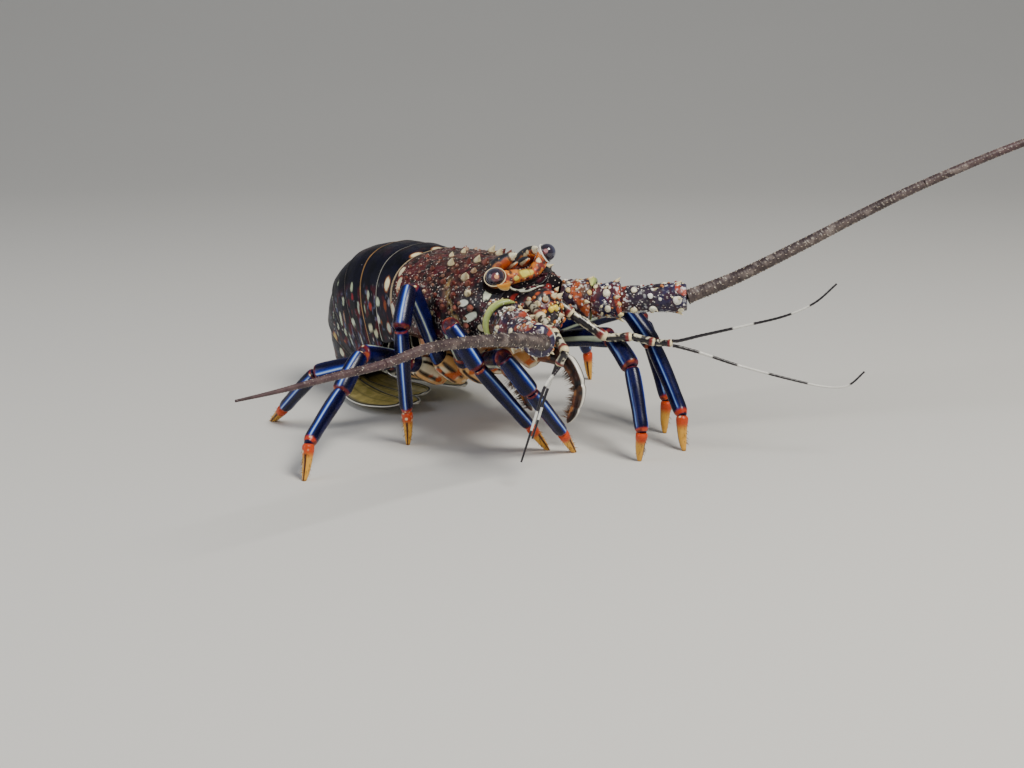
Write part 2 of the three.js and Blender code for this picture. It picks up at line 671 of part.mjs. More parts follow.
// The whole animal
const carapaceFence = carapaceCore(GAP);
const headFence = headFrontCore(GAP);
const sternumFence = sternumCore(GAP);
const sides = { left: 1, right: -1 };

addNode('carapace', makeCarapace(), FINISH.shell);
addNode('sternum', cutBy(sternumCore(), [carapaceFence, headFence]), FINISH.belly);
addNode('head_front', cutBy(headFrontCore(), [carapaceFence]), FINISH.stalk);

Object.entries(sides).forEach(([name, side]) => {
  addNode(`horn_${name}`, makeHorn(side, [carapaceFence, ball(eyeCentre(side), EYE.radius + GAP)]), FINISH.horn);
  const hornFence = makeHorn(side, [carapaceFence]);
  addNode(`eyestalk_${name}`, makeEyestalk(side, [carapaceFence, headFence, hornFence]), FINISH.stalk);
  addNode(`eye_${name}`, ball(eyeCentre(side), EYE.radius, 16, 12), FINISH.cornea);

  const antennaRoute = routeOf(ROUTES.antenna[name]);
  const peduncle = makePeduncle(antennaRoute, [carapaceFence, headFence]);
  peduncle.forEach((length, i) => addNode(`antenna_${name}_base_${i + 1}`, length, FINISH.shell));
  const { base, tip } = FLAGELLUM_RADIUS;
  const feeler = routeOf(ROUTES.flagellum[name]);
  whip(endOf(antennaRoute, peduncle[2]), feeler, [base, tip], 8, [5]).forEach((length, i) => {
    addNode(`antenna_${name}_whip_${i + 1}`, length, FINISH.feeler);
  });

  const antennuleRoute = routeOf(ROUTES.antennule[name]);
  const antennule = makeAntennule(antennuleRoute, [headFence]);
  addNode(`antennule_${name}_base`, antennule, FINISH.antennule);
  const { flagellum, tip: end, fork } = ANTENNULE_RADIUS;
  ['upper', 'lower'].forEach((branch, i) => {
    const aside = vec(...FORK_WAY[name]).multiplyScalar(i ? -fork : fork);
    const carrier = endOf(antennuleRoute, antennule);
    const [length] = whip(carrier, routeOf(ROUTES[branch][name]), [flagellum, end], 6, [], aside);
    addNode(`antennule_${name}_${branch}`, length, FINISH.antennule);
  });

  const mouthFences = [carapaceFence, headFence, sternumFence];
  addNode(`maxilliped_${name}`, makeMaxilliped(routeOf(ROUTES.maxilliped[name]), mouthFences), FINISH.foot);

  for (let number = 1; number <= 5; number += 1) {
    const [upper, lower] = makeLeg(side, number, [carapaceFence, sternumFence]);
    addNode(`leg_${name}_${number}_upper`, upper, FINISH.leg);
    addNode(`leg_${name}_${number}_lower`, lower, FINISH.leg);
  }

});

for (let number = 1; number <= 6; number += 1) {
  addNode(`abdomen_${number}`, makeTailRing(number), FINISH.tail);
}

const tailFence = makeTailRing(6, GAP);
addNode('telson', makeTelson([tailFence]), FINISH.fan);
Object.entries(sides).forEach(([name, side]) => {
  ['inner', 'outer'].forEach((place) => {
    addNode(`uropod_${name}_${place}`, makeUropod(side, UROPOD[place], [tailFence]), FINISH.fan);
  });
});

export default lobster;
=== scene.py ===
"""A banded spiny lobster, dressed as a life-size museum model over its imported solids.

Lengths in the tables are millimetres in the body's own frame: +X to the head, +Y to its left, +Z up.
The body stands level in that frame, and one transform leans it and sets it on the floor.
"""

import logging
import math
from dataclasses import dataclass, field
from enum import Enum
from functools import partial
from typing import Callable, Iterator, Sequence

import bpy
import numpy as np
from mathutils import Matrix, Vector


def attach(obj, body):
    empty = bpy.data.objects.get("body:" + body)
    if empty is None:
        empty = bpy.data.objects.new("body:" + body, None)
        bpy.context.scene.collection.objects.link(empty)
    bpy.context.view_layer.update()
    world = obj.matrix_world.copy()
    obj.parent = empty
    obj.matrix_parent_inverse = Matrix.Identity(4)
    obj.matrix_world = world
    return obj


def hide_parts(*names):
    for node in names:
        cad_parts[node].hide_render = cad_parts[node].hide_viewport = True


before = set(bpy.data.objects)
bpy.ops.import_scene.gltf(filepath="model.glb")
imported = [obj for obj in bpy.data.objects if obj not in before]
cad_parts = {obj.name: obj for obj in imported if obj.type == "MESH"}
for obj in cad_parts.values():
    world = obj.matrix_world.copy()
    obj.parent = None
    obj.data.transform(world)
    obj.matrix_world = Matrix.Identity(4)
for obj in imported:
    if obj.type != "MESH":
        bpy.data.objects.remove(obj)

LOG = logging.getLogger("spiny_lobster")
MM = 0.001
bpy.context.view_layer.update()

Points = np.ndarray
Values = np.ndarray
Place = tuple[float, float, float]
Table = Sequence[Sequence[float]]
UP = np.array([0, 0, 1])
LEFT = np.array([0, 1, 0])


class Side(Enum):
    """The two sides of the animal."""

    LEFT = 1
    RIGHT = -1

    @property
    def word(self) -> str:
        """The side's word in piece and node names."""
        return self.name.lower()


def both(left: object, right: object) -> dict[Side, object]:
    """A dataclass field that holds one value for each side."""
    return field(default_factory=lambda: {Side.LEFT: left, Side.RIGHT: right})


def linear(hex_colour: str) -> tuple[float, float, float]:
    """Turn an sRGB hex colour to linear light.

    Args:
        hex_colour: Six hex digits after a hash.

    Returns:
        Red, green and blue between 0 and 1.
    """
    parts = [int(hex_colour[i : i + 2], 16) / 255 for i in (1, 3, 5)]
    return tuple(c / 12.92 if c <= 0.04045 else ((c + 0.055) / 1.055) ** 2.4 for c in parts)


def smooth(low: float, high: float, value: Values) -> Values:
    """Rise smoothly from 0 at low to 1 at high, or fall where high is the smaller.

    Args:
        low: Where the result is 0.
        high: Where the result is 1.
        value: Numbers to test.

    Returns:
        Numbers between 0 and 1.
    """
    t = np.clip((value - low) / (high - low), 0, 1)
    return t * t * (3 - 2 * t)


def lattice(ix: Values, iy: Values, iz: Values, seed: int) -> Values:
    """Give each whole-number place its own value between 0 and 1.

    Args:
        ix, iy, iz: Whole-number coordinates.
        seed: Picks one of many such fields.

    Returns:
        One value per place.
    """
    h = (ix * 73856093) ^ (iy * 19349663) ^ (iz * 83492791) ^ (seed * 2654435761)
    h = ((h ^ (h >> 13)) * 1274126177) & 0xFFFFFFFF
    h = ((h ^ (h >> 16)) * 2246822519) & 0xFFFFFFFF
    return (h & 0xFFFF) / 65535.0


def clouds(points: Points, size: float, seed: int = 0) -> Values:
    """Soft noise between 0 and 1.

    Args:
        points: Places in mm.
        size: Width of one cloud in mm.
        seed: Picks the field.

    Returns:
        One value per point.
    """
    q = points / size
    i = np.floor(q).astype(np.int64)
    f = q - i
    f = f * f * (3 - 2 * f)
    total = 0.0
    for dx in (0, 1):
        for dy in (0, 1):
            for dz in (0, 1):
                near = lattice(i[..., 0] + dx, i[..., 1] + dy, i[..., 2] + dz, seed)
                wx = f[..., 0] if dx else 1 - f[..., 0]
                wy = f[..., 1] if dy else 1 - f[..., 1]
                wz = f[..., 2] if dz else 1 - f[..., 2]
                total = total + near * wx * wy * wz
    return total


def flecks(points: Points, spacing: float, radius: float, share: float, seed: int = 0) -> Values:
    """Round flecks scattered one to a cell.

    Args:
        points: Places in mm.
        spacing: Width of a cell in mm.
        radius: Radius of the largest fleck in mm.
        share: Share of the cells that hold one.
        seed: Picks the field.

    Returns:
        1 inside a fleck and 0 outside, with a soft edge.
    """
    q = points / spacing
    home = np.floor(q).astype(np.int64)
    found = np.zeros(points.shape[:-1])
    for dx in (-1, 0, 1):
        for dy in (-1, 0, 1):
            for dz in (-1, 0, 1):
                cell = [home[..., 0] + dx, home[..., 1] + dy, home[..., 2] + dz]
                middle = np.stack([c + 0.15 + 0.7 * lattice(*cell, seed + k) for k, c in enumerate(cell)], -1)
                size = radius * (0.55 + 0.45 * lattice(*cell, seed + 5))
                there = lattice(*cell, seed + 7) < share
                away = np.linalg.norm((q - middle) * spacing, axis=-1)
                found = np.maximum(found, there * smooth(1.2, 0.65, away / size))
    return found


def between(table: Table, x: Values, column: int) -> Values:
    """Read one column of a table of stations smoothly at x.

    Args:
        table: Rows that start with their station.
        x: Stations to read.
        column: Column to read.

    Returns:
        One value per x.
    """
    rows = np.array(table, float)
    at, value = rows[:, 0], rows[:, column]
    slope = np.empty(len(at))
    slope[1:-1] = (value[2:] - value[:-2]) / (at[2:] - at[:-2])
    slope[0] = (value[1] - value[0]) / (at[1] - at[0])
    slope[-1] = (value[-1] - value[-2]) / (at[-1] - at[-2])
    x = np.clip(np.asarray(x, float), at[0], at[-1])
    i = np.clip(np.searchsorted(at, x, side="left") - 1, 0, len(at) - 2)
    step = at[i + 1] - at[i]
    u = (x - at[i]) / step
    start = value[i] * (1 + 2 * u) * (1 - u) ** 2 + slope[i] * step * u * (1 - u) ** 2
    return start + value[i + 1] * u * u * (3 - 2 * u) + slope[i + 1] * step * u * u * (u - 1)


def unit(v: Points) -> Points:
    """Scale vectors to length 1."""
    return v / np.maximum(np.linalg.norm(v, axis=-1, keepdims=True), 1e-9)


def turns(count: int) -> Values:
    """Evenly spaced angles round a full turn, in radians."""
    return np.arange(count) / count * 2 * np.pi


def spread(rings: Points, share: Values) -> tuple[Points, Values, Values]:
    """The points of a tube in one list, with the share along it and the angle round it of each."""
    count, sides = rings.shape[:2]
    return rings.reshape(-1, 3), np.repeat(share, sides), np.tile(turns(sides), count)


def reach_along(route: Points) -> Values:
    """Length along a route at each of its points."""
    return np.concatenate([[0], np.cumsum(np.linalg.norm(np.diff(route, axis=0), axis=1))])


def globe(way: Points, first: Points, second: Points, lat: Values, turn: Values) -> Points:
    """Rows of a ball of radius 1 that lie lat radians off its pole, way, and turn from first to second."""
    around = first * np.cos(turn)[:, None] + second * np.sin(turn)[:, None]
    return way * np.cos(lat)[:, None, None] + around * np.sin(lat)[:, None, None]


def curve_through(route: Points | Table, count: int) -> Points:
    """Run a smooth curve through a route's points, evenly spaced along its length.

    Args:
        route: Points in mm.
        count: Number of points wanted.

    Returns:
        The points of the curve.
    """
    route = np.asarray(route, float)
    reach = reach_along(route)
    rows = np.column_stack([reach, route])
    at = np.linspace(0, reach[-1], count)
    return np.column_stack([between(rows, at, c) for c in (1, 2, 3)])


@dataclass(frozen=True)
class Stand:
    """How the body leans and where it stands."""

    height: float = 57.2
    nose_up: float = 7.0
    lean: float = 8.7
    plan_centre: tuple[float, float] = (61.0, 88.0)

    @property
    def turn(self) -> Points:
        """Rotation from the body's frame to the floor's."""
        nose_up, lean = math.radians(self.nose_up), math.radians(self.lean)
        return np.array(Matrix.Rotation(-nose_up, 3, "Y") @ Matrix.Rotation(lean, 3, "X"))

    def to_row(self, points: Points) -> Points:
        """Take body points in mm to the part's frame in metres."""
        on_floor = points @ self.turn.T + np.array([0, 0, self.height])
        return (on_floor - np.array([*self.plan_centre, 0])) * MM

    def to_floor(self, points: Points) -> Points:
        """Take body points to the floor's frame, both in mm."""
        return np.asarray(points, float) @ self.turn.T + np.array([0, 0, self.height])

    def from_floor(self, points: Points) -> Points:
        """Take points from the floor's frame to the body's, both in mm."""
        return (np.asarray(points, float) - np.array([0, 0, self.height])) @ self.turn


STAND = Stand()

# Middles of the eyeballs, each turned its own way on its stalk
EYES = {Side.LEFT: np.array([35.2, 14.9, 18.4]), Side.RIGHT: np.array([35.5, -14.2, 14.9])}


def add_node(tree: bpy.types.NodeTree, kind: str, links: dict | None = None, **settings) -> bpy.types.Node:
    """Add one shader node with its settings and its inputs.

    Args:
        tree: Node tree that gets it.
        kind: Name of the shader node's type, after ShaderNode.
        links: Input socket, by name or number, to a value or to another node's output.
        **settings: Properties of the node.

    Returns:
        The new node.
    """
    made = tree.nodes.new(f"ShaderNode{kind}")
    for key, value in settings.items():
        setattr(made, key, value)
    for socket, value in (links or {}).items():
        if isinstance(value, bpy.types.NodeSocket):
            tree.links.new(value, made.inputs[socket])
        else:
            made.inputs[socket].default_value = value
    return made


def new_material(name: str) -> tuple[bpy.types.Material, Callable[..., bpy.types.Node], bpy.types.NodeSocket]:
    """An empty material, the function that adds nodes to it, and the coordinates of the object it is on."""
    made = bpy.data.materials.new(name)
    made.use_nodes = True
    made.node_tree.nodes.clear()
    node = partial(add_node, made.node_tree)
    return made, node, node("TexCoord").outputs["Object"]


def add_object(name: str, data: bpy.types.ID) -> bpy.types.Object:
    """Make an object of a mesh, lamp or camera and put it in the scene."""
    made = bpy.data.objects.new(name, data)
    bpy.context.scene.collection.objects.link(made)
    return made


@dataclass(frozen=True)
class Cuticle:
    """Finish of a hard crustacean skin: chitin with lime in it, coloured below a thin waxy coat.

    The skin is grown, not painted: its colour lies in clouds, its pores show as a fine grain, and the
    outermost layer is clear, so highlights are small and bright on smooth parts and broken on rough ones.
    """

    name: str
    deep: str
    light: str
    cloud_mm: float = 5.0
    fleck: str = "#E9E0CC"
    fleck_spacing_mm: float = 2.2
    fleck_radius_mm: float = 0.45
    fleck_share: float = 0.0
    roughness: float = 0.38
    coat: float = 0.35
    specular: float = 0.4
    grain_mm: float = 0.6
    grain_depth_mm: float = 0.05
    pit_mm: float = 2.4
    pit_depth_mm: float = 0.0

    def material(self) -> bpy.types.Material:
        """Build the shader.

        Returns:
            The finished material.
        """
        made, node, place = new_material(self.name)
        cloud = node("TexNoise", {"Vector": place, "Scale": 1 / (self.cloud_mm * MM), "Detail": 5.0, "Roughness": 0.62})
        ramp = node("MapRange", {0: cloud.outputs[0], 1: 0.38, 2: 0.64})
        ground = node(
            "Mix", {0: ramp.outputs[0], 6: (*linear(self.deep), 1), 7: (*linear(self.light), 1)}, data_type="RGBA"
        )
        mark = node("Attribute", attribute_name="mark")
        fade = node("MapRange", {0: cloud.outputs[0], 1: 0.3, 2: 0.7, 3: 0.86, 4: 1.08})
        worn = node("VectorMath", {0: mark.outputs["Color"], "Scale": fade.outputs[0]}, operation="SCALE")
        marked = node("Mix", {0: mark.outputs["Alpha"], 6: ground.outputs[2], 7: worn.outputs[0]}, data_type="RGBA")
        colour = marked.outputs[2]
        if self.fleck_share > 0:
            cells = node("TexVoronoi", {"Vector": place, "Scale": 1 / (self.fleck_spacing_mm * MM)})
            reach = self.fleck_radius_mm / self.fleck_spacing_mm
            round_fleck = node(
                "MapRange", {0: cells.outputs["Distance"], 1: reach * 1.25, 2: reach * 0.7, 3: 0.0, 4: 1.0}
            )
            chance = node("SeparateColor", {0: cells.outputs["Color"]})
            chosen = node("Math", {0: chance.outputs[0], 1: self.fleck_share}, operation="LESS_THAN")
            shown = node("Math", {0: round_fleck.outputs[0], 1: chosen.outputs[0]}, operation="MULTIPLY")
            flecked = node("Mix", {0: shown.outputs[0], 6: colour, 7: (*linear(self.fleck), 1)}, data_type="RGBA")
            colour = flecked.outputs[2]
        grain = node("TexNoise", {"Vector": place, "Scale": 1 / (self.grain_mm * MM), "Detail": 3.0})
        bump = node("Bump", {"Strength": 0.7, "Distance": self.grain_depth_mm * MM, "Height": grain.outputs[0]})
        if self.pit_depth_mm > 0:
            pits = node("TexVoronoi", {"Vector": place, "Scale": 1 / (self.pit_mm * MM)}, feature="SMOOTH_F1")
            bump = node(
                "Bump",
                {
                    "Strength": 0.9, "Distance": self.pit_depth_mm * MM, "Height": pits.outputs["Distance"],
                    "Normal": bump.outputs[0],
                },
                invert=True,
            )
        dulling = node(
            "MapRange", {0: grain.outputs[0], 1: 0.3, 2: 0.7, 3: self.roughness - 0.07, 4: self.roughness + 0.09}
        )
        shader = node(
            "BsdfPrincipled",
            {
                "Base Color": colour, "Roughness": dulling.outputs[0], "IOR": 1.56,
                "Specular IOR Level": self.specular, "Coat Weight": self.coat, "Coat Roughness": 0.16,
                "Normal": bump.outputs[0],
            },
        )
        node("OutputMaterial", {"Surface": shader.outputs[0]})
        return made


# Lime-hardened shell of the back: rough, pitted and mottled, with a broken soft shine
MOTTLED_SHELL = Cuticle(
    "limed_chitin_mottled", "#160B10", "#4A2622", cloud_mm=3.2, fleck="#E8DCCE", fleck_spacing_mm=1.4,
    fleck_radius_mm=0.28, fleck_share=0.38, roughness=0.4, coat=0.06, specular=0.2, grain_depth_mm=0.12, pit_mm=1.8,
    pit_depth_mm=0.16,
)
# Smooth thin shell of the tail: near black with a blue and brown depth, and small sharp highlights
TAIL_SHELL = Cuticle(
    "waxed_chitin_blue_black", "#05060F", "#100F24", cloud_mm=9.0, fleck="#A9A6B8", fleck_spacing_mm=3.0,
    fleck_radius_mm=0.2, fleck_share=0.1, roughness=0.36, coat=0.03, specular=0.13, grain_depth_mm=0.03,
)
# Glossy shell of the legs: navy, tight and smooth, so that light runs down it in lines
LEG_SHELL = Cuticle(
    "waxed_chitin_navy", "#050726", "#0B0F44", cloud_mm=6.0, roughness=0.28, coat=0.1, specular=0.2,
    grain_depth_mm=0.03,
)
# Shell of the antenna's stout base: dark and crowded with pale flecks
ANTENNA_SHELL = Cuticle(
    "limed_chitin_flecked", "#110A1E", "#301C34", cloud_mm=2.8, fleck="#EFE8DE", fleck_spacing_mm=1.3,
    fleck_radius_mm=0.24, fleck_share=0.5, roughness=0.4, coat=0.2, grain_depth_mm=0.1, pit_mm=2.0, pit_depth_mm=0.12,
)
# Rough horny shell of the whip: brown, ringed and almost dull
WHIP_SHELL = Cuticle(
    "horny_chitin_ringed", "#382D2F", "#60534E", cloud_mm=3.0, fleck="#CFC3B4", fleck_spacing_mm=1.5,
    fleck_radius_mm=0.2, fleck_share=0.2, roughness=0.55, coat=0.05, grain_depth_mm=0.08,
)
# Thin black shell of the small feelers and mouth limbs
BLACK_SHELL = Cuticle(
    "thin_chitin_black", "#0B090E", "#1F1720", cloud_mm=4.0, roughness=0.32, coat=0.25, grain_depth_mm=0.04,
)
# Leathery joint skin and softer shell round the mouth: orange, matt and finely wrinkled
JOINT_SKIN = Cuticle(
    "joint_membrane_orange", "#A2481A", "#DB8432", cloud_mm=3.2, roughness=0.46, coat=0.15, grain_depth_mm=0.12,
)
# Ivory horn of the spines and horns: dense, smooth and a little waxy
IVORY_HORN = Cuticle(
    "horn_ivory", "#D8C690", "#F2E9C9", cloud_mm=1.6, roughness=0.32, coat=0.3, grain_depth_mm=0.04,
)
# Flexible blades of the tail fan: olive, thin, with a satin face
FAN_BLADE = Cuticle(
    "flexible_chitin_olive", "#A0904A", "#CDB96E", cloud_mm=5.0, roughness=0.4, coat=0.2, grain_mm=0.9,
    grain_depth_mm=0.08,
)


@dataclass(frozen=True)
class Cornea:
    """Finish of the eye: a clear polished cuticle over a dark faceted ball."""

    name: str = "cornea_polished"
    dark: str = "#15101E"
    glow: str = "#2E2236"
    facet_mm: float = 0.35  # real facets are finer, drawn as coarse as the render can show

    def material(self) -> bpy.types.Material:
        """Build the shader.

        Returns:
            The finished material.
        """
        made, node, place = new_material(self.name)
        cloud = node("TexNoise", {"Vector": place, "Scale": 1 / (3.0 * MM)})
        depth = node(
            "Mix", {0: cloud.outputs[0], 6: (*linear(self.dark), 1), 7: (*linear(self.glow), 1)}, data_type="RGBA"
        )
        mark = node("Attribute", attribute_name="mark")
        marked = node(
            "Mix", {0: mark.outputs["Alpha"], 6: depth.outputs[2], 7: mark.outputs["Color"]}, data_type="RGBA"
        )
        facets = node("TexVoronoi", {"Vector": place, "Scale": 1 / (self.facet_mm * MM)})
        bump = node("Bump", {"Strength": 0.15, "Distance": 0.02 * MM, "Height": facets.outputs["Distance"]})
        shader = node(
            "BsdfPrincipled",
            {
                "Base Color": marked.outputs[2], "Roughness": 0.16, "IOR": 1.5, "Coat Weight": 0.8,
                "Coat Roughness": 0.04, "Normal": bump.outputs[0],
            },
        )
        node("OutputMaterial", {"Surface": shader.outputs[0]})
        return made


class Marks:
    """Colour laid over a finish, point by point, with how much of it covers."""

    def __init__(self, points: Points) -> None:
        """Start with nothing laid on some points."""
        self.points = points
        self.rgb = np.zeros((len(points), 3))
        self.cover = np.zeros(len(points))

    def lay(self, colour: str, weight: Values | float = 1.0) -> "Marks":
        """Lay one colour over what is there.

        Args:
            colour: sRGB hex.
            weight: How much of it covers each point, 0 to 1.

        Returns:
            These marks, so that calls can follow each other.
        """
        weight = np.clip(np.asarray(weight, float).reshape(-1), 0, 1)
        total = weight + self.cover * (1 - weight)
        top = np.array(linear(colour))[None, :] * weight[:, None]
        under = self.rgb * (self.cover * (1 - weight))[:, None]
        self.rgb = np.where(total[:, None] > 1e-6, (top + under) / np.maximum(total, 1e-6)[:, None], self.rgb)
        self.cover = total
        return self

    def blotch(
        self, colour: str, size: float, seed: int, low: float, high: float, weight: Values | float = 1.0
    ) -> "Marks":
        """Lay soft clouds of one colour.

        Args:
            colour: sRGB hex.
            size: Width of one cloud in mm.
            seed: Picks the pattern.
            low: Noise at which they start.
            high: Noise at which they cover in full.
            weight: How much of them covers each point, 0 to 1.

        Returns:
            These marks.
        """
        return self.lay(colour, weight * smooth(low, high, clouds(self.points, size, seed)))

    def dot(
        self, colour: str, spacing: float, radius: float, share: float, seed: int, weight: Values | float = 1.0
    ) -> "Marks":
        """Lay round flecks of one colour.

        Args:
            colour: sRGB hex.
            spacing: Width in mm of the cell that holds one.
            radius: Radius of the largest in mm.
            share: Share of the cells that hold one.
            seed: Picks the pattern.
            weight: How much of them covers each point, 0 to 1.

        Returns:
            These marks.
        """
        return self.lay(colour, weight * flecks(self.points, spacing, radius, share, seed))

    def part(self, first: int, last: int) -> "Marks":
        """The marks of a run of the points."""
        made = Marks(self.points[first:last])
        made.rgb, made.cover = self.rgb[first:last], self.cover[first:last]
        return made


@dataclass
class Skin:
    """A closed tube of rings: points are rings x sides x 3 in the body's frame."""

    points: Points
    marks: Marks | None = None
    capped: bool = True

    def __post_init__(self) -> None:
        """Give bare skins empty marks."""
        if self.marks is None:
            self.marks = Marks(self.flat)

    @property
    def flat(self) -> Points:
        """All points in one list."""
        return self.points.reshape(-1, 3)

    def faces(self, start: int) -> list[tuple[int, ...]]:
        """List the faces, with point numbers from start, and the end fans' middles last.

        Args:
            start: Number of the first point.

        Returns:
            Quads and triangles.
        """
        rings, sides = self.points.shape[:2]
        r, k = np.meshgrid(np.arange(rings - 1), np.arange(sides), indexing="ij")
        a = start + r * sides + k
        b = start + r * sides + (k + 1) % sides
        quads = np.stack([a, b, b + sides, a + sides], -1).reshape(-1, 4).tolist()
        if self.capped:
            first = start + rings * sides
            low = start
            high = start + (rings - 1) * sides
            quads += [[low + (j + 1) % sides, low + j, first] for j in range(sides)]
            quads += [[high + j, high + (j + 1) % sides, first + 1] for j in range(sides)]
        return quads


Piece = tuple[str, Sequence[Skin], Cuticle | Cornea, str, str]
MATERIALS: dict[str, bpy.types.Material] = {}


def make_piece(name: str, skins: Sequence[Skin], finish: Cuticle | Cornea, slot: str, node: str) -> bpy.types.Object:
    """Make one object of several skins, finish it and tie it to the frame.

    Args:
        name: Name of the piece.
        skins: Its closed surfaces.
        finish: Its finish.
        slot: Name of a finish slot; not used.
        node: Solid that it stands for.

    Returns:
        The new object.
    """
    points: list[Points] = []
    colours: list[Points] = []
    faces: list[tuple[int, ...]] = []
    start = 0
    for skin in skins:
        faces += skin.faces(start)
        points.append(skin.flat)
        colours.append(np.column_stack([skin.marks.rgb, skin.marks.cover]))
        start += len(skin.flat)
        if skin.capped:
            points.append(np.stack([skin.points[0].mean(0), skin.points[-1].mean(0)]))
            sides = skin.points.shape[1]
            colours.append(np.stack([colours[-1][:sides].mean(0), colours[-1][-sides:].mean(0)]))
            start += 2
    mesh = bpy.data.meshes.new(name)
    placed = STAND.to_row(np.concatenate(points))
    placed[:, 2] = np.maximum(placed[:, 2], 0)
    mesh.from_pydata(placed.tolist(), [], faces)
    mesh.polygons.foreach_set("use_smooth", [True] * len(mesh.polygons))
    mark = mesh.color_attributes.new("mark", "FLOAT_COLOR", "POINT")
    mark.data.foreach_set("color", np.concatenate(colours).astype(np.float32).ravel())
    mesh.update()
    if finish.name not in MATERIALS:
        MATERIALS[finish.name] = finish.material()
    mesh.materials.append(MATERIALS[finish.name])
    made = add_object(name, mesh)
    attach(made, "root")
    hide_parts(node)
    return made


class Assembly:
    """A group of pieces that are made and reported together."""

    def pieces(self) -> Iterator[Piece]:
        """Name, skins, finish, slot and solid of each piece in turn."""
        raise NotImplementedError

    def build(self) -> list[bpy.types.Object]:
        """Make the pieces."""
        return [make_piece(*piece) for piece in self.pieces()]


def tube(path: Points, wide: Values, tall: Values, side: Points, sides: int = 24) -> Points:
    """Lay oval rings across a path.

    Args:
        path: Points along it.
        wide: Radius along side at each point.
        tall: Radius square to side at each point.
        side: Direction that the first radius lies along.
        sides: Points in a ring.

    Returns:
        Rings x sides x 3.
    """
    path = np.asarray(path, float)
    tangent = unit(np.gradient(path, axis=0))
    across = unit(np.asarray(side, float) - tangent * (tangent @ np.asarray(side, float))[:, None])
    up = np.cross(tangent, across)
    angle = turns(sides)
    wide = np.broadcast_to(wide, len(path))[:, None, None]
    tall = np.broadcast_to(tall, len(path))[:, None, None]
    return (
        path[:, None, :]
        + across[:, None, :] * wide * np.cos(angle)[None, :, None]
        + up[:, None, :] * tall * np.sin(angle)[None, :, None]
    )


def eased(count: int) -> Values:
    """Steps from 0 to 1 that crowd at both ends."""
    return 0.5 - 0.5 * np.cos(np.linspace(0, np.pi, count))


def beside(way: Points) -> Points:
    """A direction well off the one given."""
    return np.array([0.31, 0.9, 0.3]) if abs(way[1]) < 0.9 else np.array([0.0, 0.1, 1.0])


def cone(root: Points, way: Points, length: float, radius: float, bend: float = 0.12, sides: int = 10) -> Points:
    """Rings of a slightly curved spine.

    Args:
        root: Middle of its foot.
        way: Direction it grows in.
        length: How far it stands out.
        radius: Radius at the foot.
        bend: Share of the length that its tip curls forward.
        sides: Points in a ring.

    Returns:
        Rings x sides x 3.
    """
    way = unit(np.asarray(way, float))
    t = np.array([-0.3, 0.0, 0.12, 0.3, 0.5, 0.7, 0.86, 0.96, 1.0])
    width = radius * np.array([1.25, 1.12, 0.98, 0.8, 0.6, 0.4, 0.22, 0.1, 0.03])
    path = np.asarray(root, float) + way * (t * length)[:, None]
    path[:, 0] += bend * length * np.clip(t, 0, 1) ** 2
    return tube(path, width, width, beside(way), sides)


def knob(root: Points, way: Points, radius: float, height: float, colour: str, sides: int = 16) -> Skin:
    """A low rounded knob of one colour.

    Args:
        root: Middle of its foot.
        way: Direction it stands out in.
        radius: Radius at the foot.
        height: How far it stands out.
        colour: sRGB hex.
        sides: Points in a ring.

    Returns:
        One skin.
    """
    way = unit(np.asarray(way, float))
    t = np.array([-0.5, 0.0, 0.35, 0.62, 0.82, 0.95, 1.0])
    width = radius * np.array([1.02, 1.0, 0.93, 0.76, 0.54, 0.28, 0.05])
    path = np.asarray(root, float) + way * (t * height)[:, None]
    rings = tube(path, width, width, beside(way), sides)
    uneven = 0.72 + 0.56 * clouds(rings, 0.9 * radius, 5)
    skin = Skin(path[:, None, :] + (rings - path[:, None, :]) * uneven[..., None])
    skin.marks.lay(colour)
    return skin


def spine_marks(sides: int, tip: str, foot: str) -> Marks:
    """Marks of one spine: a dark foot and a pale shaft.

    Args:
        sides: Points in a ring.
        tip: Colour of the shaft.
        foot: Colour of the foot.

    Returns:
        Marks of its nine rings.
    """
    t = np.repeat(np.array([0, 0.1, 0.2, 0.35, 0.5, 0.7, 0.86, 0.96, 1.0]), sides)
    return Marks(t).lay(foot).lay(tip, smooth(0.05, 0.3, t))


CREAM = "#EBDDB0"
WHITE = "#F1EEE2"
BLACK = "#0A080D"


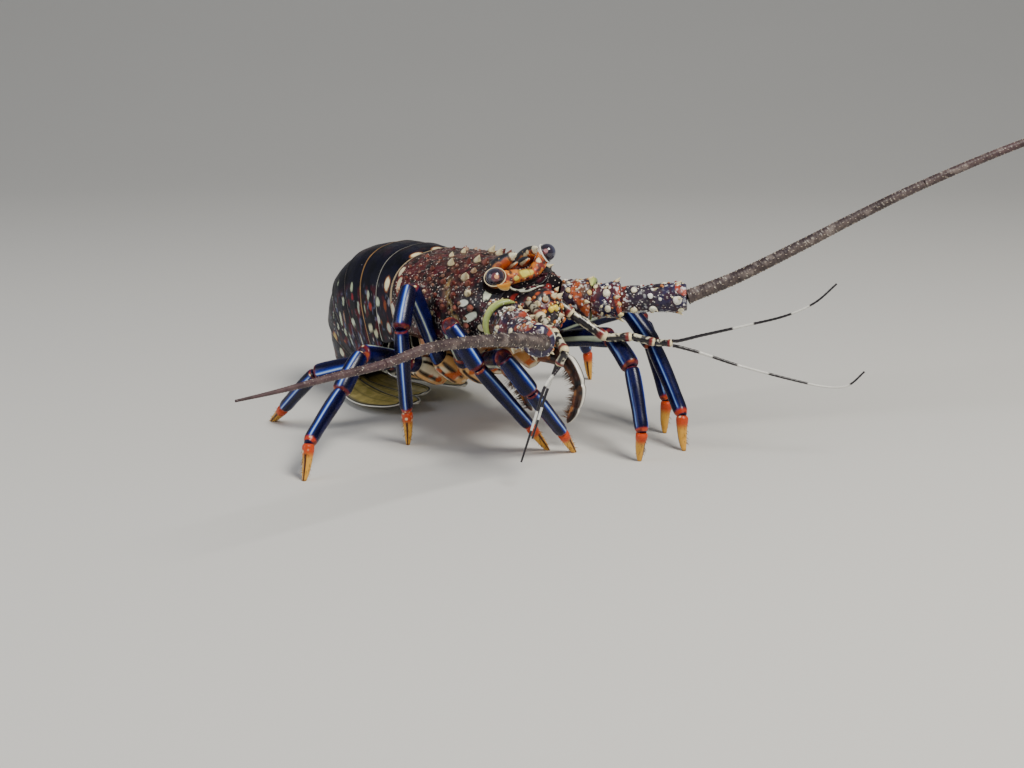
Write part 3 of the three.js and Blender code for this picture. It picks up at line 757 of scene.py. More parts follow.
@dataclass
class Carapace(Assembly):
    """The shield of the back with its groove, sockets, spines and granules."""

    stations: Table = (
        (-38, 24.6, 23.2, -11.5), (-30, 25.6, 22.8, -13.5), (-18, 27, 22, -15), (-4, 27.4, 21, -15.5),
        (10, 26.4, 20.2, -15), (22, 24, 18.8, -13), (32, 21.2, 15.8, -11), (39, 18.2, 11.6, -8),
    )
    rear: float = -30.5
    front: float = 39.0
    slant: float = 0.05  # how far the rear edge leans back for each mm that it lies below the crest
    waist: float = 0.42  # share of the height at which the shield is widest
    side_power: float = 0.8
    top_power: float = 0.85
    belly_power: float = 0.6
    groove: tuple[float, float, float, float] = (6.0, 9.0, 1.1, 3.2)  # station, sweep, depth and width
    socket: float = 6.9
    # Rows of spines: degrees from the crest, first and last station, count
    rows: Table = (
        (13, -22, 20, 5), (30, -25, 19, 6), (47, -21, 23, 6), (64, -24, 25, 6), (79, 9, 25, 3), (97, 10, 22, 3),
    )
    # Cream spines: station, degrees from the crest, scale
    pale_spines: Table = (
        (0.9, 19, 1.2), (13.2, 9, 1.0), (18.7, 40, 1.15), (-9, 4, 0.9), (24, 62, 0.8),
    )
    # Lip across the front face: distance from the middle and height
    lip: Table = ((0, 6.5), (4.3, 7.1), (6.5, 7.4), (9.9, 9.1), (11.8, 12.1), (13, 16))

    def at(self, x: Values, angle: Values) -> Points:
        """Points of the shield.

        Args:
            x: Stations along the body.
            angle: Angle from the crest, to the left, in radians.

        Returns:
            Points in mm.
        """
        at, sweep, depth, width = self.groove
        turn = np.abs(angle) / (np.pi / 2)
        off = (x - at - sweep * turn * turn) / width
        dip = np.where(turn < 1.3, depth * np.exp(-off * off), 0)
        half, top, bottom = (between(self.stations, x, c) for c in (1, 2, 3))
        half, top = half - dip, top - dip
        waist = bottom + self.waist * (top - bottom)
        s, c = np.sin(angle), np.cos(angle)
        y = half * np.sign(s) * np.abs(s) ** self.side_power
        above, below = np.abs(c) ** self.top_power, np.abs(c) ** self.belly_power
        rise = np.where(c > 0, (top - waist) * above, -(waist - bottom) * below)
        return np.stack([x + 0 * y, y, waist + rise], -1)

    def normal(self, x: Values, angle: Values) -> Points:
        """Outward directions at points of the shield."""
        along = self.at(x + 0.5, angle) - self.at(x - 0.5, angle)
        around = self.at(x, angle + 0.02) - self.at(x, angle - 0.02)
        return unit(np.cross(along, around))

    def shield(self) -> Skin:
        """The shield's surface with its relief and its marks.

        Returns:
            One skin.
        """
        steps, sides = 250, 460
        around = np.linspace(-np.pi, np.pi, sides, endpoint=False)
        x, angle = np.meshgrid(np.linspace(self.rear, self.front, steps), around, indexing="ij")
        points = self.at(x, angle)
        drop = points[0, sides // 2, 2] - points[0, :, 2]
        points[0, :, 0] -= self.slant * drop
        normal = self.normal(x, angle)
        granules = flecks(points, 2.6, 0.75, 0.55, 3)
        rough = clouds(points, 3.2, 5) - 0.5
        keep = smooth(0.0, 2.0, x - self.rear) * smooth(0.0, 2.0, self.front - x)
        points = points + normal * ((0.28 * granules + 0.35 * rough) * keep)[..., None]
        for side in Side:
            points = self.sink_socket(points, side)
        face = self.brow(points[-1])
        x = np.concatenate([x, np.full(face.shape[:2], self.front)])
        angle = np.concatenate([angle, np.broadcast_to(angle[-1], face.shape[:2])])
        points = np.concatenate([points, face])
        return Skin(points, self.colours(points, x, angle))

    def above_lip(self, points: Points) -> Values:
        """How far points of the front face lie above the lip that crosses it."""
        across, high = np.array(self.lip).T
        return points[..., 2] - np.interp(np.abs(points[..., 1]), across, high)

    def brow(self, edge: Points) -> Points:
        """The front face between the eyes: a hollow over a raised lip.

        Args:
            edge: Last ring of the shield.

        Returns:
            Rings that close it.
        """
        share = np.linspace(0.03, 0.98, 60)[:, None, None]
        face = edge + (edge.mean(0) - edge) * share
        above = self.above_lip(face)
        inner = smooth(0.0, 0.12, share[..., 0] + 0 * above)
        dip = 1.5 * smooth(0.3, 1.6, above) + 0.5 * smooth(0.5, 2.5, -above)
        face[..., 0] += inner * (0.5 * np.exp(-((above / 0.55) ** 2)) - dip)
        return face

    def sink_socket(self, points: Points, side: Side) -> Points:
        """Press the shield in round one eye.

        Args:
            points: Points of the shield.
            side: Side of the eye.

        Returns:
            Points with the socket in them.
        """
        middle = EYES[side]
        out = unit(np.array([0.35, 0.55 * side.value, 0.75]))
        source = middle + out * self.socket * 0.92
        inside = np.linalg.norm(points - middle, axis=-1) < self.socket
        way = unit(points - source)
        b = ((source - middle) * way).sum(-1)
        c = ((source - middle) ** 2).sum() - self.socket**2
        far = -b + np.sqrt(np.maximum(b * b - c, 0))
        return np.where(inside[..., None], source + way * far[..., None], points)

    def colours(self, points: Points, x: Values, angle: Values) -> Marks:
        """Mottling, patches, rims, and painted shade in the hollow above the lip of the front face.

        Args:
            points: Points of the shield.
            x: Their stations.
            angle: Their angles from the crest.

        Returns:
            Marks for every point.
        """
        p = points.reshape(-1, 3)
        x, turn = x.reshape(-1), np.abs(np.degrees(angle.reshape(-1)))
        marks = Marks(p)
        low = smooth(48, 78, turn + 22 * (clouds(p, 7, 9) - 0.5)) * smooth(-20, 2, x + 12 * (clouds(p, 9, 8) - 0.5))
        marks.lay("#120D18", 0.85 * low).blotch("#6E4038", 2.3, 21, 0.58, 0.78, 0.6 * (1 - 0.75 * low))
        marks.blotch("#561A24", 3.6, 31, 0.52, 0.74, 0.7).blotch("#0C0910", 1.8, 41, 0.55, 0.72, 0.85)
        marks.dot("#8F6A58", 3.2, 0.75, 0.4, 71, 0.75 * (1 - 0.8 * low))
        groove_at = self.groove[0] + self.groove[1] * (turn / 90) ** 2
        streak = np.exp(-(((x - groove_at - 1.2) / 1.7) ** 2)) * smooth(34, 52, turn) * smooth(100, 88, turn)
        marks.blotch("#B0935E", 2.2, 13, 0.2, 0.45, 0.9 * streak)
        busy = smooth(0.35, 0.6, clouds(p, 6, 63))
        marks.dot("#C98A5A", 1.7, 0.4, 0.4, 65, 0.8 * (0.35 + 0.65 * low) * busy)
        marks.blotch("#E8E4DC", 1.3, 67, 0.74, 0.82, 0.9 * low * busy)
        marks.dot(WHITE, 1.2, 0.38, 0.62, 61, 0.95 * (0.3 + 0.7 * smooth(40, 70, turn)) * (0.4 + 0.6 * busy))
        marks.dot("#D9B9A2", 1.8, 0.42, 0.4, 81, 0.85)
        for side in Side:
            near = np.linalg.norm(p - EYES[side], axis=-1)
            marks.lay("#0E0D18", 0.92 * smooth(9.8, 8.2, near + 1.6 * (clouds(p, 2.2, 93) - 0.5)))
            marks.dot("#D9D6CE", 2.4, 0.55, 0.35, 95, 0.9 * smooth(9.8, 8.6, near) * smooth(7.2, 7.8, near))
        face = smooth(self.front - 0.6, self.front - 0.1, x)
        above = self.above_lip(p)
        marks.lay("#130E16", face * smooth(-9, -6, p[:, 2]))
        # Painted shade: dark maroon clouds in the hollow above the lip of the front face
        marks.blotch("#4A1A26", 3.0, 91, 0.35, 0.6, 0.85 * face * smooth(0.3, 1.2, above))
        marks.lay("#8E2A26", face * smooth(3.4, 2.2, np.hypot(np.abs(p[:, 1]) - 8.4, 1.5 * (p[:, 2] - 4.6))))
        thin = 0.34 - 0.2 * smooth(2, 5, p[:, 1])
        lip = smooth(4.5, 2, p[:, 1]) * smooth(thin + 0.3, thin, np.abs(above)) * (np.abs(p[:, 1]) < 12.5)
        marks.lay("#C4C8B6", lip * face)
        rim = smooth(1.3, 0.5, x - self.rear) * smooth(112, 98, turn)
        marks.lay("#120D12", 0.9 * smooth(3.2, 1.3, x - self.rear)).lay("#C9B08A", 0.8 * rim)
        for spot in CARAPACE_SPOTS:
            spot.on(marks)
        return marks

    def spines(self) -> list[Skin]:
        """Rows of forward-leaning spines, longer towards the head.

        Returns:
            One skin per spine.
        """
        made = []
        rng = np.random.default_rng(11)
        for x, angle, scale in self.pale_spines:
            made += [self.spine(x, side.value * math.radians(angle), scale, CREAM) for side in Side]
        for angle, first, last, count in self.rows:
            for side in Side:
                for i in range(count):
                    x = first + (last - first) * i / (count - 1) + rng.uniform(-1.2, 1.2)
                    turn = side.value * math.radians(angle + rng.uniform(-2.5, 2.5))
                    near = x + rng.uniform(3.0, 5.0)
                    tip = rng.choice(["#C9A98A", "#8C5448", "#6E3A34", "#7A4A40"])
                    if min(abs(x - p) + 0.4 * abs(angle - a) for p, a, _ in self.pale_spines) > 5:
                        made.append(self.spine(x, turn, 0.7 + rng.uniform(-0.12, 0.14), tip))
                    if near < last + 1:
                        made.append(self.spine(near, turn + side.value * rng.uniform(0.1, 0.18), 0.3, "#8F6A5A"))
        return made

    def spine(self, x: float, turn: float, scale: float, tip: str) -> Skin:
        """One spine of the shield.

        Args:
            x: Its station.
            turn: Its angle from the crest in radians.
            scale: Its size against the usual one there.
            tip: Colour of its shaft.

        Returns:
            One skin.
        """
        frontness = np.clip((x + 25) / 58, 0, 1)
        length = (2.2 + 3.0 * frontness**1.4) * scale
        lean = self.normal(np.array(x), np.array(turn)) + np.array([0.5 + 0.5 * frontness, 0, 0])
        rings = cone(self.at(np.array(x), np.array(turn)), lean, length, 0.55 + 0.27 * length)
        return Skin(rings, spine_marks(10, tip, "#4A2420"))

    def pieces(self) -> Iterator[Piece]:
        """The shield with its spines."""
        yield "carapace_shield", [self.shield(), *self.spines()], MOTTLED_SHELL, "mottled_shell", "carapace"


@dataclass(frozen=True)
class Spot:
    """A patch of colour round a point of the right side, longer one way than the other.

    It lies on both sides of the body unless only names one.
    """

    at: Place
    long: float
    short: float
    colour: str
    edge: str | None = None
    way: Place = (0, 0, 1)
    only: Side | None = None

    def on(self, marks: Marks) -> None:
        """Lay the patch on marks.

        Args:
            marks: Marks that get it.
        """
        for side in Side:
            if self.only not in (None, side):
                continue
            middle = np.array([self.at[0], self.at[1] * side.value * -1, self.at[2]])
            way = unit(np.array([self.way[0], -side.value * self.way[1], self.way[2]], float))
            off = marks.points - middle
            along = off @ way
            across = np.sqrt(np.maximum((off * off).sum(-1) - along**2, 0))
            reach = np.sqrt((along / self.long) ** 2 + (across / self.short) ** 2)
            reach = reach + 0.22 * (clouds(marks.points, 1.4, 17) - 0.5)
            if self.edge:
                marks.lay(self.edge, smooth(1.4, 1.15, reach))
            marks.lay(self.colour, smooth(1.08, 0.85, reach))


@dataclass(frozen=True)
class Streak:
    """A line of colour through some points."""

    route: Points
    half: float
    colour: str

    def on(self, marks: Marks) -> None:
        """Lay the line on marks.

        Args:
            marks: Marks that get it.
        """
        points = marks.points
        away = np.full(len(points), np.inf)
        for a, b in zip(self.route[:-1], self.route[1:]):
            share = np.clip(((points - a) @ (b - a)) / ((b - a) @ (b - a)), 0, 1)
            away = np.minimum(away, np.linalg.norm(points - a - share[:, None] * (b - a), axis=-1))
        ragged = away / self.half + 0.5 * (clouds(points, 1.5, 19) - 0.5)
        marks.lay(self.colour, smooth(1.1, 0.85, ragged))


# Patches of the shield: place, half length, half width, colour, edge and direction
CARAPACE_SPOTS = tuple(
    Spot(*row) for row in (
        ((22, -23.3, 6.2), 3.6, 1.4, "#F4F5E4", BLACK, (1, 0, 0.2)),
        ((24.8, -23.2, 0.2), 5.4, 1.7, "#EDF2DA", BLACK, (1, 0, 0.35)),
        ((29.4, -21.8, -5.2), 2.3, 2.2, "#F4ECC6", BLACK, (1, 0, 0)),
        ((33.2, -18.2, 8.6), 4.0, 1.9, "#E6EDCE", BLACK, (0.25, 0, 1)),
        ((-27.4, -18.3, 18.2), 3.2, 1.4, "#D6CBA6", "#5E1F24", (0.1, -0.7, -1)),
        ((-24.7, -22.9, 13.6), 4.6, 1.7, "#D6CBA6", "#7C2A22", (0.1, -0.3, -1)),
        ((-29.5, -25.4, 2.5), 3.2, 1.4, "#D8D4BE", "#7C2A22"),
        ((12, -25.5, -3), 2.2, 1.0, "#CDB78A", None, (0, 0.2, 1)),
        ((2, -26.5, 2), 2.0, 0.9, "#CDB78A", None, (1, 0, 0.4)),
        ((-8, -26.6, 0), 2.3, 1.0, "#CDB78A", None, (0.3, 0, 1)),
    )
)


@dataclass
class Tail(Assembly):
    """Six overlapping rings with their side flaps and swimmerets."""

    stations: Table = (
        (0, -31, 23.2, -33, -11.5, 24.6), (1, -44, 25.4, -46.5, -12.5, 24.8), (2, -60, 26.6, -57.5, -14, 24.6),
        (3, -78.5, 24.4, -67.5, -16.5, 23.8), (4, -98, 14.5, -76, -20, 22.4), (5, -112, -4, -82, -25, 20.4),
        (6, -115.5, -26, -89, -32, 17.4),
    )
    outline: Table = (
        (0, 0, 1), (1, 0.34, 0.975), (2, 0.64, 0.88), (3, 0.86, 0.7), (4, 0.97, 0.47), (5, 1, 0.24),
        (6, 0.99, 0.02), (7, 0.9, 0.04), (8, 0.7, 0.17), (9, 0.36, 0.2),
    )
    drops: Sequence[float] = (0.05, 0.16, 0.18, 0.18, 0.16, 0.1)
    margins: Sequence[tuple[str, float]] = (
        ("#D9D2C2", 0.55), ("#B98A52", 1.2), ("#8A6A4E", 0.6), ("#8A6A4E", 0.7), ("#A8824E", 0.8), ("#A8824E", 0.9),
    )
    swimmerets: dict[int, tuple[float, float]] = field(
        default_factory=lambda: {2: (28, 18), 3: (30, 8), 4: (26, 8), 5: (20, 10)}
    )

    def axis(self, place: Values) -> tuple[Points, Points, Values]:
        """Back points, belly points and half widths at places along the tail."""
        back = np.stack([between(self.stations, place, 1), 0 * place, between(self.stations, place, 2)], -1)
        belly = np.stack([between(self.stations, place, 3), 0 * place, between(self.stations, place, 4)], -1)
        return back, belly, between(self.stations, place, 5)

    def ring(self, number: int) -> Skin:
        """One ring with its flaps, its raised rear margin and its marks.

        Args:
            number: 1 at the front to 6 at the rear.

        Returns:
            One skin.
        """
        steps, half_sides = 34, 90
        share = 0.028 + 0.962 * np.linspace(0, 1, steps) ** 0.9
        grow = np.interp(share, [0.028, 0.16, 0.45, 0.8, 0.93, 0.99], [-0.9, -0.5, 0.0, 0.15, 0.35, 0.1])
        flap = np.interp(share, [0.028, 0.16, 0.45, 0.8, 0.99], [0, 0.4, 0.9, 1.0, 0.35])
        back, belly, half = self.axis(number - 1 + share)
        height = back - belly
        tall = np.linalg.norm(height, axis=-1)
        up = height / tall[:, None]
        place = np.linspace(0, 9, half_sides)
        width, rise = between(self.outline, place, 1), between(self.outline, place, 2)
        hang = np.interp(place, [5, 6, 7, 8], [0, 1, 1, 0])
        rise = rise[None, :] - flap[:, None] * self.drops[number - 1] * hang[None, :]
        lift = rise * tall[:, None] + np.where(rise > 0.5, grow[:, None], 0)
        across = width[None, :] * (half + grow)[:, None]
        left = belly[:, None, :] + up[:, None, :] * lift[..., None] + LEFT * across[..., None]
        right = left[:, :0:-1] * [1, -1, 1]
        low = belly + up * (0.2 * tall)[:, None]
        points = np.concatenate([left, low[:, None, :], right], axis=1)
        around = np.concatenate([place, [9.6], place[:0:-1]])
        return Skin(points, self.colours(points, number, share, around))

    def colours(self, points: Points, number: int, share: Values, around: Values) -> Marks:
        """Rear margin, flank patches and flap lines.

        Args:
            points: Points of the ring.
            number: Number of the ring.
            share: Share of the ring's length at each row.
            around: Place along the half outline at each column.

        Returns:
            Marks for every point.
        """
        p = points.reshape(-1, 3)
        s = np.repeat(share, points.shape[1])
        a = np.tile(around, points.shape[0])
        length = np.linalg.norm(self.axis(np.array([float(number)]))[0] - self.axis(np.array([number - 1.0]))[0])
        from_rear = (0.99 - s) * length
        marks = Marks(p)
        marks.blotch("#2A1C2C", 6, 4, 0.45, 0.8, 0.6 * smooth(2.4, 4, a))
        marks.blotch("#3A2326", 3.5, 14, 0.5, 0.8, 0.45 * smooth(0.2, 1.2, 2 - a))
        flank = smooth(3.0, 3.6, a) * smooth(6.9, 6.4, a)
        tall = p * [1, 1, 0.45]
        marks.lay("#5E1820", 0.65 * flank * smooth(0.62, 0.72, clouds(tall, 1.7, 24 + number)))
        marks.lay("#AEB7A6", 0.85 * flank * flecks(tall, 3.4, 0.8, 0.22, 34 + number))
        marks.lay("#B5622C", 0.75 * flank * flecks(tall, 3.8, 0.6, 0.2, 44 + number))
        marks.lay("#7C86A8", 0.4 * flank * smooth(0.72, 0.82, clouds(tall, 1.1, 64 + number)))
        marks.dot(WHITE, 1.5, 0.3, 0.3, 54, 0.9 * flank)
        tone, width = self.margins[number - 1]
        edge = smooth(width + 0.35, width, from_rear) * smooth(6.2, 5.2, a)
        marks.lay("#0A0810", 0.9 * smooth(width + 1.6, width + 0.8, from_rear))
        marks.lay(tone, 0.95 * edge * (0.55 + 0.45 * clouds(p, 2.2, 7)))
        flap_line = smooth(5.4, 5.8, a) * smooth(7.4, 7.0, a) * smooth(1.3, 0.7, np.minimum(from_rear, 9))
        marks.lay("#C9D0C0", 0.9 * flap_line)
        for spot in TAIL_SPOTS:
            spot.on(marks)
        marks.lay("#2E2420", 0.9 * smooth(7.4, 8.0, a))
        return marks

    def swimmeret_pair(self, number: int) -> list[Skin]:
        """The two leaves that hang under a ring, black with a white margin.

        Args:
            number: Number of the ring.

        Returns:
            Two skins.
        """
        length, lean = self.swimmerets[number]
        back, belly, _ = self.axis(np.array([number - 0.5]))
        height = (back - belly)[0]
        root = belly[0] + 0.26 * height
        angle = math.atan2(-height[2], -height[0]) - math.radians(lean)
        way = np.array([math.cos(angle), 0, math.sin(angle)])
        made = []
        for side in Side:
            t = eased(40)
            path = root + way * (t * length)[:, None]
            path[:, 1] = side.value * (10.5 + 0.8 * t)
            path = path + np.cross(way, [0, 1, 0]) * (0.9 * np.sin(t * 5))[:, None]
            wide = np.interp(t, [0, 0.15, 0.35, 0.7, 0.9, 1], [1.6, 1.7, 3.8, 5.0, 3.4, 0.5])
            rings = tube(path, wide, np.interp(t, [0, 0.3, 1], [1.0, 0.6, 0.35]), LEFT, 36)
            flat, along, angle_round = spread(rings, t)
            rim = smooth(0.84, 0.93, np.abs(np.cos(angle_round))) * smooth(0.25, 0.4, along)
            rim = np.maximum(rim, smooth(0.93, 0.97, along))
            marks = Marks(flat).lay("#15131C").lay("#D9DACB", 0.95 * rim)
            made.append(Skin(rings, marks))
        return made

    def pieces(self) -> Iterator[Piece]:
        """The six rings, each with its swimmerets."""
        for number in range(1, 7):
            leaves = self.swimmeret_pair(number) if number in self.swimmerets else []
            yield f"tail_ring_{number}", [self.ring(number), *leaves], TAIL_SHELL, "tail_shell", f"abdomen_{number}"


# Patches of the tail's rings, in the same columns
TAIL_SPOTS = tuple(
    Spot(*row) for row in (
        ((-32.9, -5.8, 22.3), 3.0, 1.6, CREAM, "#8A4A1E", (0, 1, -0.2)),
        ((-37.1, -21.3, 12.9), 3.0, 1.5, "#E8E2B8", "#8A4A1E", (0, -0.4, -1)),
        ((-84.3, -18.3, 11.2), 3.4, 0.8, "#AEB89C", None, (0.1, -0.1, 1)),
        ((-67.0, -21.7, 10.7), 3.1, 1.15, "#B8C4A2", "#15101C"), ((-66.4, -22.8, 6.4), 1.8, 1.2, "#8A1F2C"),
        ((-51.6, -23.4, 8.0), 2.8, 1.0, "#B8C2A6"), ((-50.5, -24.1, 3.2), 2.0, 1.2, "#A2382C"),
        ((-43.4, -24.1, 5.2), 2.1, 1.6, "#C9D2B4", "#15101C"), ((-89.9, -19.8, 2.9), 3.0, 0.6, "#9AA28E"),
        ((-77.3, -21.7, 3.9), 2.6, 0.95, "#AEB89C"), ((-92.2, -20.0, -4.3), 3.6, 0.5, "#9AA28E"),
        ((-81.7, -22.4, -4.4), 3.4, 1.1, "#C4CCB0", "#15101C"), ((-77.7, -22.8, -3.6), 3.4, 0.6, "#A8826A"),
        ((-68.6, -23.9, -5.1), 2.2, 1.5, "#C4CDB4", "#15101C"), ((-61.9, -23.6, 1.9), 3.6, 0.7, "#AEB8A4"),
        ((-55.2, -24.3, 1.8), 2.2, 0.7, "#9EA88E"),
        ((-53.3, -24.7, -7.0), 2.3, 1.6, "#D4D2AC", "#15101C", (0.3, 0, 1)),
        ((-50.0, -24.5, -9.5), 2.0, 1.4, "#D4D2AC"), ((-44.8, -24.8, -2.5), 2.4, 1.3, "#D8DCC8"),
        ((-38.0, -24.5, -6.5), 2.2, 1.2, "#C9CDB4", "#8A3A24"), ((-38.0, -24.1, 3.7), 2.8, 1.0, "#8A4426"),
        ((-35.4, -23.5, 5.3), 2.0, 0.8, "#8E8C96"), ((-88.1, -21.1, -8.8), 1.7, 0.8, "#C9CDB4"),
        ((-79.8, -22.7, -10.7), 2.1, 1.0, "#B8C2A6"), ((-94.5, -20.2, -14.2), 2.2, 2.0, "#B8A05E", "#6E1A22"),
        ((-94.1, -19.0, -22.2), 2.2, 2.0, "#D4D6B8"),
        ((-76.0, -22.9, -12.8), 6.6, 0.55, "#C4CCBC", None, (0.12, -0.1, -1)),
        ((-64.5, -24.0, -13.2), 3.6, 0.5, "#C4CCBC", None, (0.1, 0, -1)),
    )
)


@dataclass
class TailFan(Assembly):
    """Middle plate and four side plates, olive with a black band and a white edge."""

    side_path: Table = (
        (-102.5, -26.5), (-104.5, -36), (-99, -41.6), (-86, -44.4), (-67, -45.8), (-53, -46.8), (-45, -47.4),
    )
    middle_path: Table = (
        (-102.5, -26.5), (-104.5, -36), (-99, -41.6), (-89, -44.1), (-75, -45.3), (-65.5, -45.9), (-59.5, -46.4),
    )
    thick: Sequence[float] = (2.2, 1.4, 0.95, 0.85, 0.8, 0.75, 0.6)
    middle: Sequence[float] = (6, 6.5, 7.4, 9, 9.2, 7.4, 3.6)
    plates: dict[str, tuple[float, float, Sequence[float], Sequence[float]]] = field(
        default_factory=lambda: {
            "inner": (1.9, 0.055, (8, 8.4, 9.5, 12, 14, 14, 13.5), (1.8, 2, 3.6, 6, 6.8, 5.4, 2.6)),
            "outer": (4.2, 0.067, (12, 12.6, 14.5, 20, 24.5, 24, 22), (1.8, 2, 4, 7, 7.6, 6, 2.8)),
        }
    )

    def blade(
        self, route: Table, side: float, rise: float, droop: float, out: Sequence[float], widths: Sequence[float]
    ) -> Skin:
        """One plate, with fine ribs that fan out from its root.

        Args:
            route: Stations of its middle line along the body and up.
            side: 1 to the left, -1 to the right.
            rise: How far above the middle plate it lies.
            droop: How much it falls outward.
            out: How far to the side its middle lies at each station.
            widths: Its half widths at the stations.

        Returns:
            One skin.
        """
        sides = 64
        at = np.arange(7.0)
        t = np.concatenate([np.linspace(0, 5.6, 62), np.linspace(5.62, 6, 28)])
        read = lambda values: between(np.column_stack([at, values]), t, 1)
        xz = np.array(route)
        path = np.stack([read(xz[:, 0]), side * read(np.array(out, float)), read(xz[:, 1]) + rise], -1)
        wide = read(np.array(widths, float)) * np.sqrt(np.clip(1 - ((t - 5.0) / 1.02) ** 4 * (t > 5), 0.004, 1))
        thick = read(np.array(self.thick))
        rings = tube(path, wide, thick, np.array([0, 1, -side * droop]), sides)
        flat, along, angle = spread(rings, t)
        share = np.cos(angle)
        ribs = np.cos(share * 26) * smooth(1.8, 2.6, along)
        points = flat + UP * (0.06 * ribs * np.sign(np.sin(angle)))[:, None]
        marks = Marks(points)
        edge_mm = np.minimum((1 - np.abs(share)) * np.repeat(wide, sides) * 1.5, (6 - along) * 8)
        blade = smooth(1.6, 2.2, along)
        marks.lay("#15131A", 1 - blade).lay("#2A2618", 0.7 * blade * smooth(0.9, 1.0, np.cos(share * 9 + 0.6)))
        marks.lay("#0D0C12", blade * smooth(2.4, 1.6, edge_mm)).lay("#E4E2D2", blade * smooth(0.8, 0.45, edge_mm))
        return Skin(points.reshape(rings.shape), marks)

    def pieces(self) -> Iterator[Piece]:
        """The five plates."""
        telson = self.blade(self.middle_path, 1, 0, 0, (0,) * 7, self.middle)
        yield "telson_plate", [telson], FAN_BLADE, "tail_fan", "telson"
        for name, (rise, droop, out, widths) in self.plates.items():
            for side in Side:
                node = f"uropod_{side.word}_{name}"
                skin = self.blade(self.side_path, side.value, rise, droop, out, widths)
                yield f"{node}_plate", [skin], FAN_BLADE, "tail_fan", node


@dataclass
class Legs(Assembly):
    """Ten walking legs, each of a base ring and five jointed lengths."""

    # Hips of the left legs, front to rear, and hip to knee, to wrist, to ankle and to tip of each leg
    bases: Sequence[Place] = ((20, 17, -21), (9, 20, -22), (-4, 23, -22), (-17, 25, -22), (-28, 25, -21.5))
    lengths: Table = ((36, 18, 28, 14), (42, 21, 38, 16), (41, 20, 38, 16), (40, 20, 36, 16), (29, 18, 31, 14))
    # For each leg the way its first length points, the pitch of its lengths, and the turns at knee and wrist
    stance: dict[Side, Sequence[tuple[float, Sequence[float], float, float]]] = both(
        (
            (12, (8, -34, -60, -100), -18, -15), (47, (23, -47, -40, -80), -31, -32),
            (58, (24, -24, -54, -95), -36, -36), (112, (24, -34, -52, -78), 0, 0), (146, (18, -30, -52, -72), 0, 0),
        ),
        (
            (23, (13, -53, -47, -52), -84, -38), (45, (35, -57, -48, -52), -92, -39),
            (80, (62, -53, -102, -94), -28, -4), (75, (16, -44, -21, -69), -4, -17), (86, (7, -15, -40, -38), 46, 41),
        ),
    )
    coxa_length: float = 10.0
    coxa_drop: Sequence[float] = (3, 8, 8, 8, 6)
    foot_sink: float = 1.0

    def chain(self, hip: Points, number: int, side: Side, lift: float) -> Points:
        """Hip, knee, wrist, ankle and tip in the floor's frame, with the first length lifted by some degrees."""
        plan, pitch, knee, wrist = self.stance[side][number - 1]
        plans = (plan, plan + knee, plan + knee + wrist, plan + knee + wrist)
        joints = [hip]
        for i, length in enumerate(self.lengths[number - 1]):
            p, q = math.radians(pitch[i] + (lift if i == 0 else 0)), math.radians(plans[i])
            step = np.array([math.cos(p) * math.cos(q), side.value * math.cos(p) * math.sin(q), math.sin(p)])
            joints.append(joints[i] + length * step)
        return np.array(joints)

    def joints(self, number: int, side: Side) -> Points:
        """Joints of a leg that stands on the floor, in the body's frame.

        Args:
            number: 1 at the front to 5 at the rear.
            side: Side of the body.

        Returns:
            Hip, knee, wrist, ankle and tip.
        """
        x, y, z = self.bases[number - 1]
        hip = STAND.to_floor(np.array([x, side.value * y, z]))
        low, high = -30.0, 30.0
        for _ in range(40):
            lift = (low + high) / 2
            if self.chain(hip, number, side, lift)[4][2] > -self.foot_sink:
                high = lift
            else:
                low = lift
        return STAND.from_floor(self.chain(hip, number, side, high))

    def length(self, a: Points, b: Points, profile: Table, bend: Points, bow: float = 0.0) -> Skin:
        """One jointed length as a rounded, slightly oval tube.

        Args:
            a: Its first end.
            b: Its second end.
            profile: Share along it and radius there.
            bend: Hinge axis, which the flat side faces.
            bow: How far its middle bows out.

        Returns:
            One skin without marks.
        """
        steps, sides = 56, 48
        t = eased(steps)
        path = a + (b - a) * t[:, None]
        out = unit(np.cross(unit(b - a), bend))
        path = path + out * (bow * np.sin(np.pi * t))[:, None]
        radius = between(profile, t, 1)
        return Skin(tube(path, 0.92 * radius, radius, bend, sides))

    @staticmethod
    def lines(skin: Skin, bands: Sequence[tuple[float, float, str, float, float]]) -> Skin:
        """Lay lengthwise bands on a length.

        Args:
            skin: The length.
            bands: Middle angle and half width in degrees, colour, and first and last share along it.

        Returns:
            The same skin.
        """
        _, t, angle = spread(skin.points, eased(len(skin.points)))
        angle = np.degrees(angle)
        wave = 3.0 * (clouds(skin.flat, 5.0, 3) - 0.5)
        for middle, half, colour, first, last in bands:
            off = np.abs((angle - middle + 180) % 360 - 180) + wave
            ends = smooth(first - 0.02, first + 0.03, t) * smooth(last + 0.02, last - 0.03, t)
            skin.marks.lay(colour, smooth(1.15 * half, 0.7 * half, off) * ends)
        return skin

    @staticmethod
    def joint_colour(skin: Skin, first: float, last: float, seed: int, tone: str = "#661A20") -> Skin:
        """Redden the ends of a length and dot them with orange and cream.

        Args:
            skin: The length.
            first: Share of it that is red at its start.
            last: Share of it that is red at its end.
            seed: Picks the pattern.
            tone: sRGB hex of the red.

        Returns:
            The same skin.
        """
        t = spread(skin.points, eased(len(skin.points)))[1]
        near = smooth(first, 0.6 * first, t) if first else 0 * t
        if last:
            near = np.maximum(near, smooth(1 - last, 1 - 0.5 * last, t))
        skin.marks.lay(tone, 0.95 * near).lay("#0B0D34", 0.85 * near * smooth(0.01, 0.002, np.minimum(t, 1 - t)))
        skin.marks.blotch("#B4562C", 1.8, seed, 0.62, 0.74, 0.6 * near)
        skin.marks.blotch("#2A0E14", 1.6, seed + 9, 0.58, 0.7, 0.7 * near).dot("#EAD7A6", 2.4, 0.7, 0.45, seed, near)
        return skin

